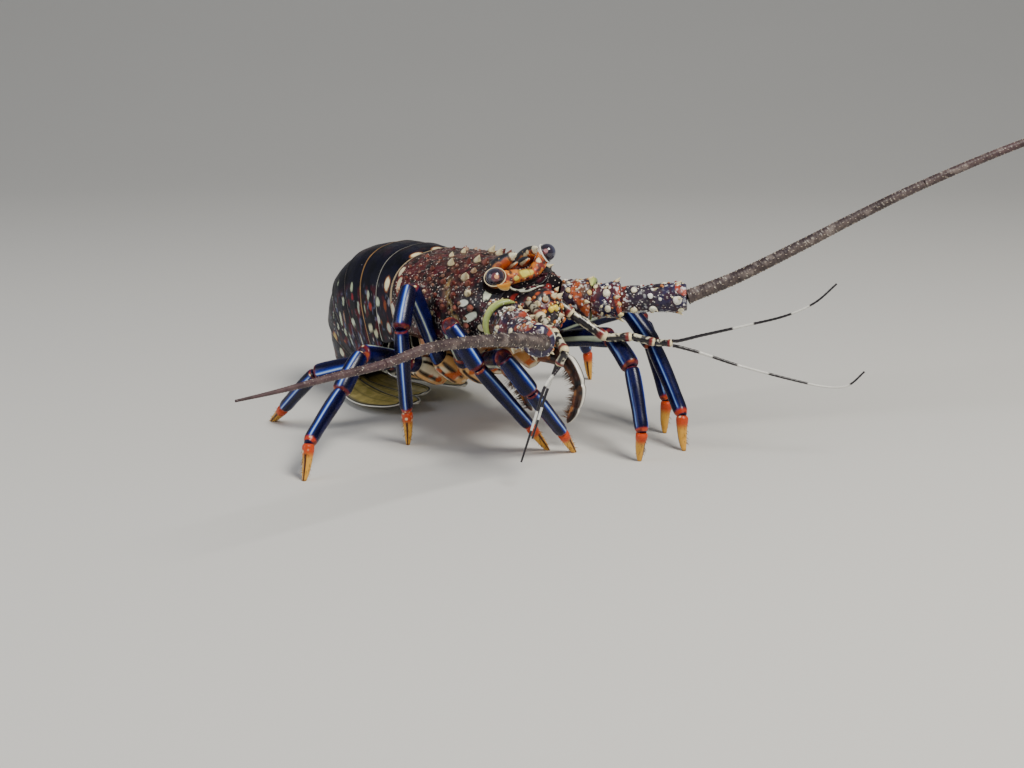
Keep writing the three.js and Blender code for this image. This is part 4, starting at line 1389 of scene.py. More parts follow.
    def leg(self, number: int, side: Side) -> tuple[list[Skin], list[Skin]]:
        """Upper and lower lengths of one leg.

        Args:
            number: 1 at the front to 5 at the rear.
            side: Side of the body.

        Returns:
            Skins of the upper node and of the lower node.
        """
        hip, knee, wrist, ankle, tip = self.joints(number, side)
        inner = hip - np.array([0, side.value * self.coxa_length, self.coxa_drop[number - 1]])
        bend = unit(np.cross(knee - hip, wrist - knee))
        seed = 10 * number + side.value
        toward = unit(knee - hip)
        coxa = self.length(inner, hip + 4.0 * toward, ((0, 4.4), (0.2, 5.7), (0.6, 5.9), (0.9, 5.2), (1, 3.6)), bend)
        coxa.marks.lay("#D9A86A").blotch("#E8DDBE", 4.0, seed, 0.5, 0.75)
        self.lines(coxa, [(a, 9, "#1E120E", 0.2, 0.97) for a in (10, 50, 95, 135, 180, 225, 270, 315)])
        coxa.marks.blotch("#C4581E", 3.0, seed + 3, 0.6, 0.72, 0.9)
        ischium = self.length(
            hip + 2.0 * toward, hip + 11.0 * toward, ((0, 3.6), (0.3, 4.1), (0.8, 3.9), (1, 2.8)), bend
        )
        self.lines(
            ischium, [(40, 16, "#22408E", 0.1, 0.9), (150, 9, "#C4CCBB", 0.1, 0.9), (260, 12, "#22408E", 0.1, 0.9)]
        )
        self.joint_colour(ischium, 0.1, 0.25, seed)
        merus = self.length(
            hip + 9.6 * toward, knee,
            ((0, 2.7), (0.06, 3.5), (0.2, 3.8), (0.6, 4.15), (0.9, 4.35), (0.97, 3.9), (1, 2.6)), bend, 0.5,
        )
        self.lines(
            merus,
            [
                (30, 14, "#050524", 0.02, 0.95), (112, 14, "#050524", 0.02, 0.95), (70, 15, "#16268A", 0.02, 0.95),
                (70, 8, "#BACBB6", 0.04, 0.93), (200, 17 if number == 1 else 10, "#BFCDB8", 0.03, 0.93),
                (300, 15, "#12206A", 0.03, 0.93), (300, 7, "#BCCBB8", 0.05, 0.9),
            ],
        )
        self.joint_colour(merus, 0.03, 0.055, seed + 1)
        carpus = self.length(
            knee, wrist, ((0, 2.6), (0.07, 3.6), (0.5, 4.1), (0.85, 4.2), (0.95, 3.8), (1, 2.6)), bend, 0.4
        )
        propodus = self.length(
            wrist, ankle, ((0, 2.4), (0.04, 3.2), (0.3, 3.45), (0.7, 3.15), (0.93, 3.0), (1, 2.0)), bend, 0.3
        )
        for skin in (carpus, propodus):
            self.lines(
                skin,
                [
                    (28, 15, "#050524", 0.02, 0.97), (114, 15, "#050524", 0.02, 0.97),
                    (72, 19, "#131F78", 0.02, 0.97), (70, 10, "#3C66BE", 0.03, 0.96), (68, 3.2, "#B4D0F0", 0.04, 0.95),
                    (185, 14, "#141F70", 0.03, 0.95), (185, 4, "#7FA3D8", 0.05, 0.93),
                    (290, 16, "#16267C", 0.03, 0.95), (290, 4.5, "#A9C4E6", 0.05, 0.93),
                ],
            )
        self.joint_colour(carpus, 0.04, 0.1, seed + 2)
        self.joint_colour(propodus, 0.03, 0.0, seed + 4)
        self.joint_colour(propodus, 0.0, 0.07, seed + 4, "#B83A1C")
        propodus.marks.cover.reshape(len(propodus.points), -1)[[0, -1]] = 0  # bare shell on its flat ends
        dactyl = self.length(
            ankle, tip, ((0, 1.9), (0.07, 2.6), (0.35, 2.2), (0.7, 1.6), (0.92, 0.9), (1, 0.35)), bend, -0.5
        )
        t = spread(dactyl.points, eased(len(dactyl.points)))[1]
        dactyl.marks.lay("#C0441C").lay("#D9A040", smooth(0.18, 0.4, t)).lay("#5A3014", smooth(0.86, 0.98, t))
        dactyl.marks.dot(CREAM, 2.8, 0.8, 0.5, seed + 6, smooth(0.35, 0.2, t))
        self.lines(dactyl, [(70, 16, "#4A2418", 0.25, 0.95), (250, 16, "#4A2418", 0.25, 0.95)])
        for skin in (coxa, ischium, merus, carpus, propodus, dactyl):
            self.keep_beside_shield(skin)
            self.keep_above_floor(skin)
        return [coxa, ischium, merus], [carpus, propodus, dactyl, *self.bristles(ankle, tip, bend, seed)]

    @staticmethod
    def keep_beside_shield(skin: Skin) -> None:
        """Press what would lie inside the flank of the shield out against its face."""
        shield, clear = Carapace(), 0.45
        x, y, z = skin.flat.T
        half, top, bottom = (between(shield.stations, x, c) for c in (1, 2, 3))
        waist = bottom + shield.waist * (top - bottom)
        high = np.clip((z - waist) / (top - waist), 0, 1) ** (1 / shield.top_power)
        low = np.clip((waist - z) / (waist - bottom + clear), 0, 1) ** (1 / shield.belly_power)
        wall = (half + clear) * (1 - np.maximum(high, low) ** 2) ** (shield.side_power / 2)
        inside = (np.abs(y) < wall) & (x > shield.rear) & (np.abs(y) > 8)
        skin.points = np.stack([x, np.where(inside, np.sign(y) * wall, y), z], -1).reshape(skin.points.shape)

    @staticmethod
    def keep_above_floor(skin: Skin) -> None:
        """Flatten what would dip below the floor onto it."""
        on_floor = STAND.to_floor(skin.flat)
        on_floor[:, 2] = np.maximum(on_floor[:, 2], 0.02)
        skin.points = STAND.from_floor(on_floor).reshape(skin.points.shape)

    @staticmethod
    def bristles(ankle: Points, tip: Points, bend: Points, seed: int) -> list[Skin]:
        """Short bristles all round the last length."""
        rng = np.random.default_rng(seed + 100)
        made = []
        out = unit(np.cross(unit(tip - ankle), bend))
        for i in range(34):
            t = 0.15 + 0.62 * i / 33
            around = rng.uniform(0, 2 * np.pi)
            way = out * math.cos(around) + bend * math.sin(around)
            root = ankle + (tip - ankle) * t + way * (2.3 - 1.3 * t)
            rings = cone(root, way + 0.9 * unit(tip - ankle), rng.uniform(1.0, 1.7), 0.12, 0.0, 4)
            made.append(Skin(rings, spine_marks(4, "#8E6A34", "#6A4A24")))
        return made

    def pieces(self) -> Iterator[Piece]:
        """The ten legs, each of an upper and a lower piece."""
        for side in Side:
            for number in range(1, 6):
                upper, lower = self.leg(number, side)
                node = f"leg_{side.word}_{number}"
                yield f"{node}_thigh", upper, LEG_SHELL, "leg_blue", f"{node}_upper"
                yield f"{node}_shank", lower, LEG_SHELL, "leg_blue", f"{node}_lower"


@dataclass
class Antennae(Assembly):
    """The two great feelers: three stout spiny lengths and a ringed whip."""

    base_routes: dict[Side, Table] = both(
        ((36, 17, 62), (45, 26.2, 61), (54, 35.4, 62.2), (73.4, 54.8, 63.9)),
        ((36.3, -16.5, 57.1), (49, -21.5, 57.6), (62, -26.5, 58), (89, -35, 58.4)),
    )
    whip_routes: dict[Side, Table] = both(
        (
            (74.5, 56.5, 64.6), (85.8, 71.6, 72.4), (100.4, 93.4, 85.3), (114.6, 113.7, 98.2), (129.7, 135.2, 111),
            (153, 168, 127.8), (176, 203, 141), (196, 240, 151), (213, 279, 157), (226, 319, 159), (234, 352, 158),
        ),
        (
            (91.4, -38.6, 59.6), (92.6, -50, 61.9), (94.6, -70, 64.1), (97.6, -93, 65.2), (100.4, -114, 62.6),
            (103.2, -138, 61.6), (105.2, -151, 61), (107, -163, 60.6), (109, -177, 60.4),
        ),
    )
    radii: tuple[float, float, float] = (9.2, 7.8, 6.3)
    swell: Table = ((0, 0.86), (0.12, 0.9), (0.5, 0.93), (0.82, 1.02), (0.93, 1.0), (1, 0.86))
    whip: tuple[float, float] = (3.3, 0.45)
    whip_sides: int = 16
    ring_mm: float = 1.35
    whip_break: int = 5
    knobs: Sequence[tuple[int, float, float, float, str]] = (
        (1, 0.57, -53, 1.9, "#E9E4C8"), (1, 0.57, -109, 1.6, "#E9E4C8"), (1, 0.18, -21, 1.2, "#E9DCB0"),
        (0, 0.91, -53, 1.4, "#E4C070"), (2, 0.2, -40, 1.5, "#EDE6CC"), (2, 0.18, -135, 1.8, "#E6DCAE"),
        (2, 0.48, -130, 1.8, "#E9E6D0"), (2, 0.45, -69, 1.2, "#EFEDE6"), (2, 0.86, -90, 2.2, "#EFEDDC"),
        (2, 0.86, -10, 1.9, "#EFEDDC"), (2, 0.66, 6, 1.6, "#EDE6CC"), (2, 0.9, -140, 1.8, "#EDE6C0"),
        (1, 0.94, -140, 1.6, "#E9DCA0"), (1, 0.94, -95, 1.0, "#E4C070"), (0, 0.24, -52, 1.2, "#E4C98C"),
        (2, 0.29, 67, 1.4, "#E9E0B8"), (1, 0.8, 81, 1.5, "#E9E4C8"), (1, 0.82, -2, 1.4, "#EFE6C8"),
        (2, 0.8, 60, 1.6, "#E9E0B8"), (0, 0.6, 10, 1.3, "#E4C98C"),
    )
    streaks: Sequence[tuple[str, float, Sequence[tuple[int, float, float]]]] = (
        ("#A84E22", 1.9, ((0, 0.47, -20), (0, 0.47, -56), (0, 0.7, -83), (0, 1.0, -114), (1, 0.17, -144))),
        ("#A23C20", 1.3, ((2, 0.08, 10), (1, 0.93, -44), (1, 0.89, -73), (1, 0.92, -110), (1, 0.97, -140))),
        ("#A83A20", 1.9, ((2, 0.88, -40), (2, 0.95, -55))),
        ("#963A22", 1.7, ((2, 0.42, 45), (2, 0.86, 25))),
    )

    @staticmethod
    def across(way: Points, side: Side) -> tuple[Points, Points]:
        """Directions square to a length: up, and to its outer side."""
        up = unit(UP - way * way[2])
        return up, unit(np.cross(way, up)) * -side.value

    def place(self, side: Side, part: int, share: float, angle: float) -> tuple[Points, Points]:
        """A place on a stout length and the outward direction there.

        Args:
            side: Side of the body.
            part: 0 at the head to 2 at the whip.
            share: Share along the length.
            angle: Degrees round it from the top to its outer side.

        Returns:
            Point and direction.
        """
        a, b = STAND.from_floor(self.base_routes[side])[part : part + 2]
        way = unit(b - a)
        up, out = self.across(way, side)
        outward = up * math.cos(math.radians(angle)) + out * math.sin(math.radians(angle))
        return a + (b - a) * share + 0.93 * self.radii[part] * outward, outward

    def base(self, side: Side, part: int) -> list[Skin]:
        """One stout length with its rim, joint skin and spines.

        Args:
            side: Side of the body.
            part: 0 at the head to 2 at the whip.

        Returns:
            Its skins.
        """
        route = STAND.from_floor(self.base_routes[side])
        a, b = route[part], route[part + 1]
        way = unit(b - a)
        start = a + way * (0.15 if part else 0.0)
        steps, sides = 70, 120
        t = eased(steps)
        path = start + (b - 0.15 * way - start) * t[:, None]
        radius = self.radii[part] * between(self.swell, t, 1)
        rings = tube(path, radius, 0.95 * radius, UP, sides)
        flat, rows, around = spread(rings, t)
        out = unit(flat - np.repeat(path, sides, axis=0))
        granules = flecks(flat, 2.4, 0.8, 0.6, 3 + part)
        flat = flat + out * (0.3 * granules + 0.3 * (clouds(flat, 2.6, 8) - 0.5))[:, None]
        marks = Marks(flat)
        seed = 60 + 10 * part + side.value
        marks.blotch("#1C1242", 6, seed, 0.35, 0.6, 0.85 * (part > 0))
        marks.blotch("#5A1E26", 3.4, seed + 1, 0.52, 0.68, 0.85 * (part < 2))
        marks.blotch("#7A5A3A", 4.0, seed + 2, 0.62, 0.8, 0.6 * (part < 1))
        joint = smooth(0.09, 0.03, rows + 0.04 * np.cos(2 * around) + 0.05 * (clouds(flat, 5, seed + 3) - 0.5))
        marks.lay("#5A1C18", 0.9 * joint * (part > 0))
        busy = 0.35 + 0.65 * smooth(0.4, 0.6, clouds(flat, 4.5, seed + 7))
        for colour, half, places in self.streaks:
            Streak(np.array([self.place(side, *at)[0] for at in places]), half, colour).on(marks)
        marks.blotch("#3A1420", 1.8, seed + 4, 0.6, 0.7, 0.7)
        margin = smooth(0.6, 0.9, np.abs(np.cos(around))) * smooth(0.1, 0.25, rows) * smooth(0.9, 0.8, rows)
        busy = np.maximum(busy, 0.8 * margin)
        marks.blotch("#DDE2E4", 1.3, seed + 8, 0.7, 0.76, 0.75 * margin)
        marks.dot(WHITE, 1.15, 0.34, 0.62, seed, 0.95 * busy).blotch("#DCE0E6", 1.2, seed + 6, 0.74, 0.82, 0.9 * busy)
        made = [Skin(flat.reshape(rings.shape), marks)]
        rng = np.random.default_rng(29 + part)
        for at, share, angle, size, colour in self.knobs:
            if at == part:
                root, outward = self.place(side, part, share, angle)
                made.append(knob(root, outward, 0.88 * size, 0.5 * size, colour))
        for ring_at, count, length in ((0.86, 5, 2.8), (0.5, 4, 2.0)):
            for k in range(count):
                angle = (k + 0.3 * rng.random()) / count * 2 * np.pi + (0 if ring_at > 0.6 else 0.5)
                row = int(np.searchsorted(t, ring_at))
                place = rings[row, int(angle / (2 * np.pi) * sides) % sides]
                outward = unit(place - path[row])
                reach = length * rng.uniform(0.8, 1.15)
                spine = cone(place - 0.2 * outward, outward + way, reach, 1.35 * length / 4.2)
                made.append(Skin(spine, spine_marks(10, CREAM, "#B5763A")))
        for _ in range(46):
            row, at = int(rng.integers(8, steps - 8)), int(rng.integers(0, sides))
            size, tone = rng.uniform(0.35, 0.75), rng.choice(["#EFEDE4", "#EFEDE4", "#E3D9B0", "#B5703A", "#7C2A22"])
            outward = out[sides * row + at]
            made.append(knob(rings[row, at] + 0.15 * outward, outward, size, 0.7 * size, tone, 10))
        if part == 0:
            made.append(self.collar(side, path[-4], way, radius[-12]))
        return made

    def collar(self, side: Side, middle: Points, way: Points, radius: float) -> Skin:
        """The smooth yellow-green collar on the outer rim of the first length.

        Args:
            side: Side of the body.
            middle: Middle of the rim.
            way: Direction of the length.
            radius: Radius of the rim.

        Returns:
            One skin.
        """
        up, out = self.across(way, side)
        turn = np.radians(np.linspace(-32, 160, 90))
        path = middle + radius * (up * np.cos(turn)[:, None] + out * np.sin(turn)[:, None])
        share = np.linspace(0, 1, 90)
        width = np.interp(share, [0, 0.1, 0.3, 0.5, 0.8, 1], [0.4, 1.5, 1.9, 1.7, 1.3, 0.6])
        skin = Skin(tube(path, width, 0.75 * width, way, 28))
        low = np.cos(spread(skin.points, share)[2])
        skin.marks.lay("#C4CA6E").lay("#93A35E", smooth(0.2, 0.8, low)).lay("#E6DC92", smooth(0.2, 0.8, -low))
        return skin

    def lash(self, side: Side) -> tuple[list[Skin], list[Skin]]:
        """The ringed whip, in the two lengths of its solids.

        Args:
            side: Side of the body.

        Returns:
            Skins of the first length and of the second.
        """
        base = STAND.from_floor(self.base_routes[side])
        end = base[-1] + 0.15 * unit(base[-1] - base[-2])
        route = np.vstack([end, STAND.from_floor(self.whip_routes[side])])
        reach = reach_along(route)
        count = int(reach[-1] / 0.45)
        path = curve_through(route, count)
        share = np.linspace(0, 1, count)
        stations = np.interp(share * reach[-1], reach, np.arange(len(route))) / (len(route) - 1)
        radius = self.whip[0] + (self.whip[1] - self.whip[0]) * stations**0.9
        ringed = 1 + 0.05 * np.cos(share * reach[-1] / self.ring_mm * 2 * np.pi)
        rings = tube(path, radius * ringed, radius * ringed, UP, self.whip_sides)
        flat, rows, around = spread(rings, share)
        marks = Marks(flat)
        marks.lay("#2E2026", 0.7 * smooth(0.1, 0.7, np.cos(around)) * smooth(0.5, 0.2, rows))
        marks.lay("#4A2430", (0.8 if side is Side.LEFT else 0.5) * smooth(0.2, 0.6, rows))
        marks.blotch("#2A1A1C", 6, 5, 0.55, 0.75, 0.6)
        marks.blotch("#A89A92", 2.5, 9, 0.6, 0.8, 0.3 * smooth(0.6, 0.3, rows))
        marks.dot("#CFC8C0", 1.5, 0.28, 0.5, 15, 0.8 * smooth(-0.2, 0.5, np.cos(around)))
        marks.dot("#D6CEC0", 1.15, 0.3, 0.55, 23, 0.85 * smooth(0.55, 0.12, rows))
        split = int(np.searchsorted(share * reach[-1], reach[self.whip_break]))
        middle, last = split * self.whip_sides, count * self.whip_sides
        lengths = ([Skin(rings[:split], marks.part(0, middle))], [Skin(rings[split:], marks.part(middle, last))])
        rng = np.random.default_rng(5)
        for row in range(6, int(count * 0.8), 4):
            for k in (1, 4, 7, 10, 13) if row % 8 < 4 else (3, 6, 9, 12, 15):
                outward = unit(rings[row, k] - path[row])
                forward = unit(path[min(row + 1, count - 1)] - path[row - 1])
                size = 1.0 * radius[row] / self.whip[0] + 0.25
                root, way = rings[row, k] - 0.1 * outward, outward + 1.2 * forward
                thorn = cone(root, way, size * rng.uniform(0.5, 1.15), 0.19 * size, 0, 4)
                lengths[0 if row < split else 1].append(Skin(thorn, spine_marks(4, "#C4B6A2", "#7C6660")))
        return lengths

    def pieces(self) -> Iterator[Piece]:
        """Both feelers, each of three stout lengths and two of its whip."""
        for side in Side:
            for part in range(3):
                node = f"antenna_{side.word}_base_{part + 1}"
                yield f"{node}_shell", self.base(side, part), ANTENNA_SHELL, "mottled_shell", node
            for i, skins in enumerate(self.lash(side), 1):
                node = f"antenna_{side.word}_whip_{i}"
                yield f"{node}_shell", skins, WHIP_SHELL, "whip", node


@dataclass
class Antennules(Assembly):
    """The two small forked feelers: a jointed stem and two banded threads each."""

    stems: dict[Side, Table] = both(
        (
            (43, 5.3, 65.5), (50, 11.5, 58), (61.7, 20.9, 48.6), (69.7, 27.7, 49.6), (77.1, 33.9, 47.6),
            (82.5, 38.4, 47.6),
        ),
        ((43.3, -6.5, 64), (58, -11, 60), (74, -16.5, 56.5), (86.5, -21.5, 52.5), (83.5, -22.5, 47)),
    )
    threads: dict[tuple[Side, str], Table] = field(
        default_factory=lambda: {
            (Side.LEFT, "upper"): (
                (84.4, 40, 48.7), (91, 46, 51.2), (104, 60, 56), (115, 71, 60.4), (123, 79, 66), (129, 85, 74)
            ),
            (Side.RIGHT, "upper"): (
                (81.4, -22.6, 44.8), (79.8, -23.4, 40), (79.6, -26, 34), (80, -29, 27), (80.4, -33, 18)
            ),
            (Side.LEFT, "lower"): (
                (84.4, 40, 46.3), (91, 47, 43.8), (102, 58, 39), (123, 79, 32), (130, 86, 31), (134, 90, 32.4),
                (138, 94, 38),
            ),
            (Side.RIGHT, "lower"): (
                (84.2, -24, 44.8), (84, -28.2, 41), (84.2, -31, 37), (84.6, -34, 30), (84.8, -36.5, 24), (85, -42, 11)
            ),
        }
    )
    bands: dict[tuple[Side, str], Table] = field(
        default_factory=lambda: {
            (Side.LEFT, "upper"): ((0.36, 0.47), (0.7, 0.8)),
            (Side.LEFT, "lower"): ((0.14, 0.2), (0.34, 0.49), (0.7, 0.9)),
            (Side.RIGHT, "upper"): ((0.2, 0.34), (0.6, 0.75)),
            (Side.RIGHT, "lower"): ((0.12, 0.24), (0.5, 0.68)),
        }
    )
    radii: tuple[float, float, float] = (2.3, 0.72, 0.4)
    swell: Table = ((0, 0.72), (0.1, 0.95), (0.6, 0.98), (0.9, 1.12), (1, 0.72))
    fork: float = 1.02
    fork_way: dict[Side, Place] = both((0, 0, 1), (-0.88, 0, 0.47))

    def stem(self, side: Side) -> list[Skin]:
        """Jointed lengths of the stem, black with cream and red joints.

        Args:
            side: Side of the body.

        Returns:
            One skin per length.
        """
        route = STAND.from_floor(self.stems[side])
        made = []
        for i in range(len(route) - 1):
            a, b = route[i], route[i + 1]
            way = unit(b - a)
            t = eased(36)
            radius = self.radii[0] * (1 - 0.08 * (i + t)) * between(self.swell, t, 1)
            path = a - 0.4 * way + (b - a + 0.6 * way) * t[:, None] if i else a + (b - a + 0.3 * way) * t[:, None]
            rings = tube(path, radius, radius, UP, 28)
            flat, rows, around = spread(rings, t)
            marks = Marks(flat)
            edge = smooth(0.3, 0.7, np.abs(np.cos(around)))
            marks.blotch("#E2DCC0", 1.0, 3 + i, 0.42, 0.55, (0.9 if i else 0.5) * edge)
            marks.dot("#E9E6DA", 1.3, 0.3, 0.5, 8 + i, 0.85 if i else 0.6)
            marks.lay("#7A1A1A", 0.9 * smooth(0.72, 0.8, rows)).lay(CREAM, smooth(0.86, 0.92, rows))
            made.append(Skin(rings, marks))
        return made

    def thread(self, side: Side, branch: str) -> Skin:
        """One thread, black with white bands.

        Args:
            side: Side of the body.
            branch: upper or lower.

        Returns:
            One skin.
        """
        stem = STAND.from_floor(self.stems[side])
        way = unit(stem[-1] - stem[-2])
        aside = np.array(self.fork_way[side]) * (self.fork if branch == "upper" else -self.fork)
        route = np.vstack([stem[-1] + 0.2 * way + aside, STAND.from_floor(self.threads[side, branch])])
        path = curve_through(route, 220)
        share = np.linspace(0, 1, 220)
        radius = (self.radii[1] + (self.radii[2] - self.radii[1]) * share**0.9) * (1 + 0.06 * np.cos(share * 220))
        rings = tube(path, radius, radius, UP, 14)
        flat, rows, _ = spread(rings, share)
        marks = Marks(flat)
        for first, last in self.bands[side, branch]:
            marks.lay("#D6D5CE", smooth(first - 0.01, first, rows) * smooth(last + 0.01, last, rows))
        return Skin(rings, marks)

    def pieces(self) -> Iterator[Piece]:
        """Both stems and the four threads."""
        for side in Side:
            node = f"antennule_{side.word}_base"
            yield f"{node}_shell", self.stem(side), BLACK_SHELL, "antennule", node
            for branch in ("upper", "lower"):
                node = f"antennule_{side.word}_{branch}"
                yield f"{node}_thread", [self.thread(side, branch)], BLACK_SHELL, "antennule", node


@dataclass
class Maxillipeds(Assembly):
    """The outer mouth limbs, curled down in front of the mouth, with a brush inside."""

    routes: dict[Side, Table] = both(
        ((30, 6.4, 39), (40, 10.5, 38.6), (48, 12.5, 36), (54.5, 12.4, 27), (53.4, 11, 18), (50, 9.4, 11.5)),
        ((30.6, -8.2, 36.6), (37, -12, 35.5), (44, -13.5, 34), (49, -13, 29), (50, -11, 23.5), (48.5, -8.5, 19.5)),
    )

    def limb(self, side: Side) -> list[Skin]:
        """One limb and its brush.

        Args:
            side: Side of the body.

        Returns:
            Its skins.
        """
        route = STAND.from_floor(self.routes[side])
        path = curve_through(route, 110)
        t = np.linspace(0, 1, 110)
        radius = between(((0, 3.6), (0.2, 3.9), (0.45, 3.5), (0.7, 2.9), (0.88, 2.2), (0.97, 1.3), (1, 0.4)), t, 1)
        for joint in (0.36, 0.62, 0.82):
            radius = radius * (1 - 0.16 * np.exp(-(((t - joint) / 0.018) ** 2)))
        rings = tube(path, 0.8 * radius, radius, LEFT, 40)
        flat, rows, angle = spread(rings, t)
        marks = Marks(flat)
        marks.blotch("#8E4A1E", 3, 7, 0.3, 0.6, 0.9).blotch("#D98A3C", 2.2, 17, 0.6, 0.75, 0.8)
        marks.lay(BLACK, 0.9 * smooth(-0.2, 0.3, np.sin(angle)))
        marks.lay(WHITE, smooth(0.93, 0.98, np.sin(angle)) * smooth(0.3, 0.36, rows))
        made = [Skin(rings, marks)]
        rng = np.random.default_rng(3)
        for _ in range(260):
            s = rng.uniform(0.42, 0.97)
            row = int(s * 109)
            k = int(rng.normal(30, 3.2)) % 40
            outward = unit(rings[row, k] - path[row])
            root, way = rings[row, k] - 0.2 * outward, outward + np.array([-0.3, 0, -0.2])
            hair = cone(root, way, rng.uniform(2.0, 4.2), 0.13, 0.0, 4)
            made.append(Skin(hair, spine_marks(4, "#6A4424", "#3A2416")))
        return made

    def pieces(self) -> Iterator[Piece]:
        """Both limbs."""
        for side in Side:
            node = f"maxilliped_{side.word}"
            yield f"{node}_limb", self.limb(side), BLACK_SHELL, "mouth_limb", node


@dataclass
class Head(Assembly):
    """Front of the head: the plate between the antennae, the horns, the eyes on their stalks and the jaws."""

    plate: Table = ((36, 13, 8, -14), (44, 10, 7, -14), (49, 7.5, 5.6, -13), (52, 5, 3, -10))
    lip: Table = (
        (39.4, -12.4, 13), (39.8, -11.2, 10.6), (40, -9.7, 8.9), (41, -6.8, 7.2), (43.2, -4.4, 7), (44.6, -2, 7.4),
        (45, 0, 7.7),
    )
    jaws: tuple[Sequence[float], Sequence[float]] = ((37, 0, -14), (9, 8.5, 7))
    eye_radius: dict[Side, float] = both(3.7, 4.0)
    cup_wall: float = 0.5
    horn_path: Table = ((23, 7.4, 12.5), (29.5, 7.2, 17.6), (35.8, 6.4, 20.8), (41.8, 5.5, 23))
    horn_radii: Table = ((3.6, 5), (3.2, 4.2), (2, 2.8), (0.5, 0.6))
    lobe_path: Table = ((28, 3.6, 13.8), (32, 3.5, 16.6), (35, 3.3, 18.0), (37.4, 3.1, 18.8))
    lobe_radii: Sequence[float] = (2.4, 2.3, 1.9, 0.9)
    stalk_radii: Sequence[float] = (2.6, 2.6, 2.9, 3.3, 3.8)
    gaze: dict[Side, Place] = both((0.7, 0.56, 0.28), (0.58, -0.46, 0.67))
    rim_at: dict[Side, float] = both(-1.1, 0.5)
    # Ways towards the camera of the painted reddish reflection on each eye
    painted_reflection_way: dict[Side, Place] = both((0.62, -0.72, 0.3), (0.82, -0.53, 0.21))

    def front_plate(self) -> list[Skin]:
        """The plate with its knobs, and the rounded jaws under it.

        Returns:
            The plate, the jaws and the knobs.
        """
        steps, sides, core = 110, 150, np.array([44.0, 0, -3])
        t = np.linspace(self.plate[0][0], self.plate[-1][0], steps)
        half, top, bottom = (between(self.plate, t, c) for c in (1, 2, 3))
        round_off = np.sqrt(np.clip(1 - ((t - 47) / 5.2) ** 2 * (t > 47), 0.03, 1))[:, None]
        angle = turns(sides)
        middle, tall = ((top + bottom) / 2)[:, None], ((top - bottom) / 2)[:, None]
        y, z = half[:, None] * round_off * np.cos(angle), middle + tall * round_off * np.sin(angle)
        points = np.stack([np.repeat(t[:, None], sides, 1), y, z], -1)
        relief = 0.5 * (clouds(points, 2.4, 71) - 0.5) + 0.3 * flecks(points, 2.8, 0.8, 0.5, 72)
        points = points + unit(points - core) * relief[..., None]
        plate = Skin(points)
        plate.marks.lay("#140D18").blotch("#5E1B22", 3.2, 2, 0.48, 0.66, 0.95)
        plate.marks.blotch("#B8502A", 2.6, 12, 0.66, 0.78, 0.9).blotch("#8C7A86", 1.8, 42, 0.68, 0.8, 0.7)
        plate.marks.dot(WHITE, 1.6, 0.42, 0.45, 32, 0.95)
        middle_at, size = np.array(self.jaws, float)
        ball = globe(*np.eye(3), eased(30) * np.pi, angle)
        jaw = Skin((middle_at + ball[::-1] * size)[1:-1])
        jaw.marks.lay("#3A2018").blotch("#C9853E", 3, 5, 0.5, 0.7, 0.9)
        jaw.marks.dot(CREAM, 3.6, 1.2, 0.5, 7).lay(BLACK, smooth(0.85, 0.95, np.cos(jaw.flat[:, 1] * 1.6)))
        knobs = []
        for at, radius, colour in PLATE_KNOBS:
            for side in Side:
                root = np.array(at) * [1, -side.value, 1]
                away = unit(root - core)
                if colour == CREAM:
                    rings = cone(root - 0.3 * away, away + np.array([0.5, 0, 0.3]), 1.9 * radius, radius, sides=14)
                    knobs.append(Skin(rings, spine_marks(14, CREAM, "#B0643A")))
                else:
                    knobs.append(knob(root, away, radius, 0.6 * radius, colour))
        rng = np.random.default_rng(41)
        for _ in range(120):
            root = points[rng.integers(38, steps - 4), rng.integers(0, sides)]
            size, tone = rng.uniform(0.4, 0.85), rng.choice(["#EFEADB", "#E3D193", "#C4702E", "#8E3A24", "#D9C9B4"])
            if -12 < root[2] < 4.5:
                knobs.append(knob(root, unit(root - core), size, 0.8 * size, tone, 10))
        return [plate, jaw, *knobs, self.ridge()]

    def ridge(self) -> Skin:
        """The pale raised lip that runs under both eyes across the top of the plate."""
        half = np.array(self.lip)
        path = curve_through(np.vstack([half, half[-2::-1] * [1, -1, 1]]), 120)
        t = np.linspace(-1, 1, 120)
        width = 0.24 + 0.34 * np.exp(-(((np.abs(t) - 0.3) / 0.16) ** 2))
        width = width + 0.22 * np.exp(-(((np.abs(t) - 0.85) / 0.12) ** 2))
        skin = Skin(tube(path, width, 0.8 * width, UP, 16))
        skin.marks.lay("#CDD2BE")
        dark = smooth(0.56, 0.64, clouds(skin.flat, 1.6, 9))
        skin.marks.lay("#241A22", np.maximum(dark, smooth(1.5, 3.5, skin.flat[:, 1])))
        return skin

    def horn(self, side: Side) -> list[Skin]:
        """One horn over an eye, black above and orange below with a cream tip, and the lobe at its foot."""
        made = []
        lobe = np.array(self.lobe_radii)
        for path, wide, tall in ((self.horn_path, *np.array(self.horn_radii).T), (self.lobe_path, lobe, lobe)):
            route = curve_through(np.array(path) * [1, side.value, 1], 70)
            t = np.linspace(0, 1, 70)
            at = np.linspace(0, 1, 4)
            end = np.sqrt(np.clip(1 - ((t - 0.9) / 0.102) ** 2 * (t > 0.9), 0.02, 1))
            read = lambda radii: between(np.column_stack([at, radii]), t, 1) * end
            rings = tube(route, read(wide), read(tall), LEFT, 60)
            made.append(Skin(rings, self.horn_marks(*spread(rings, t), side, len(made) == 1)))
        return made

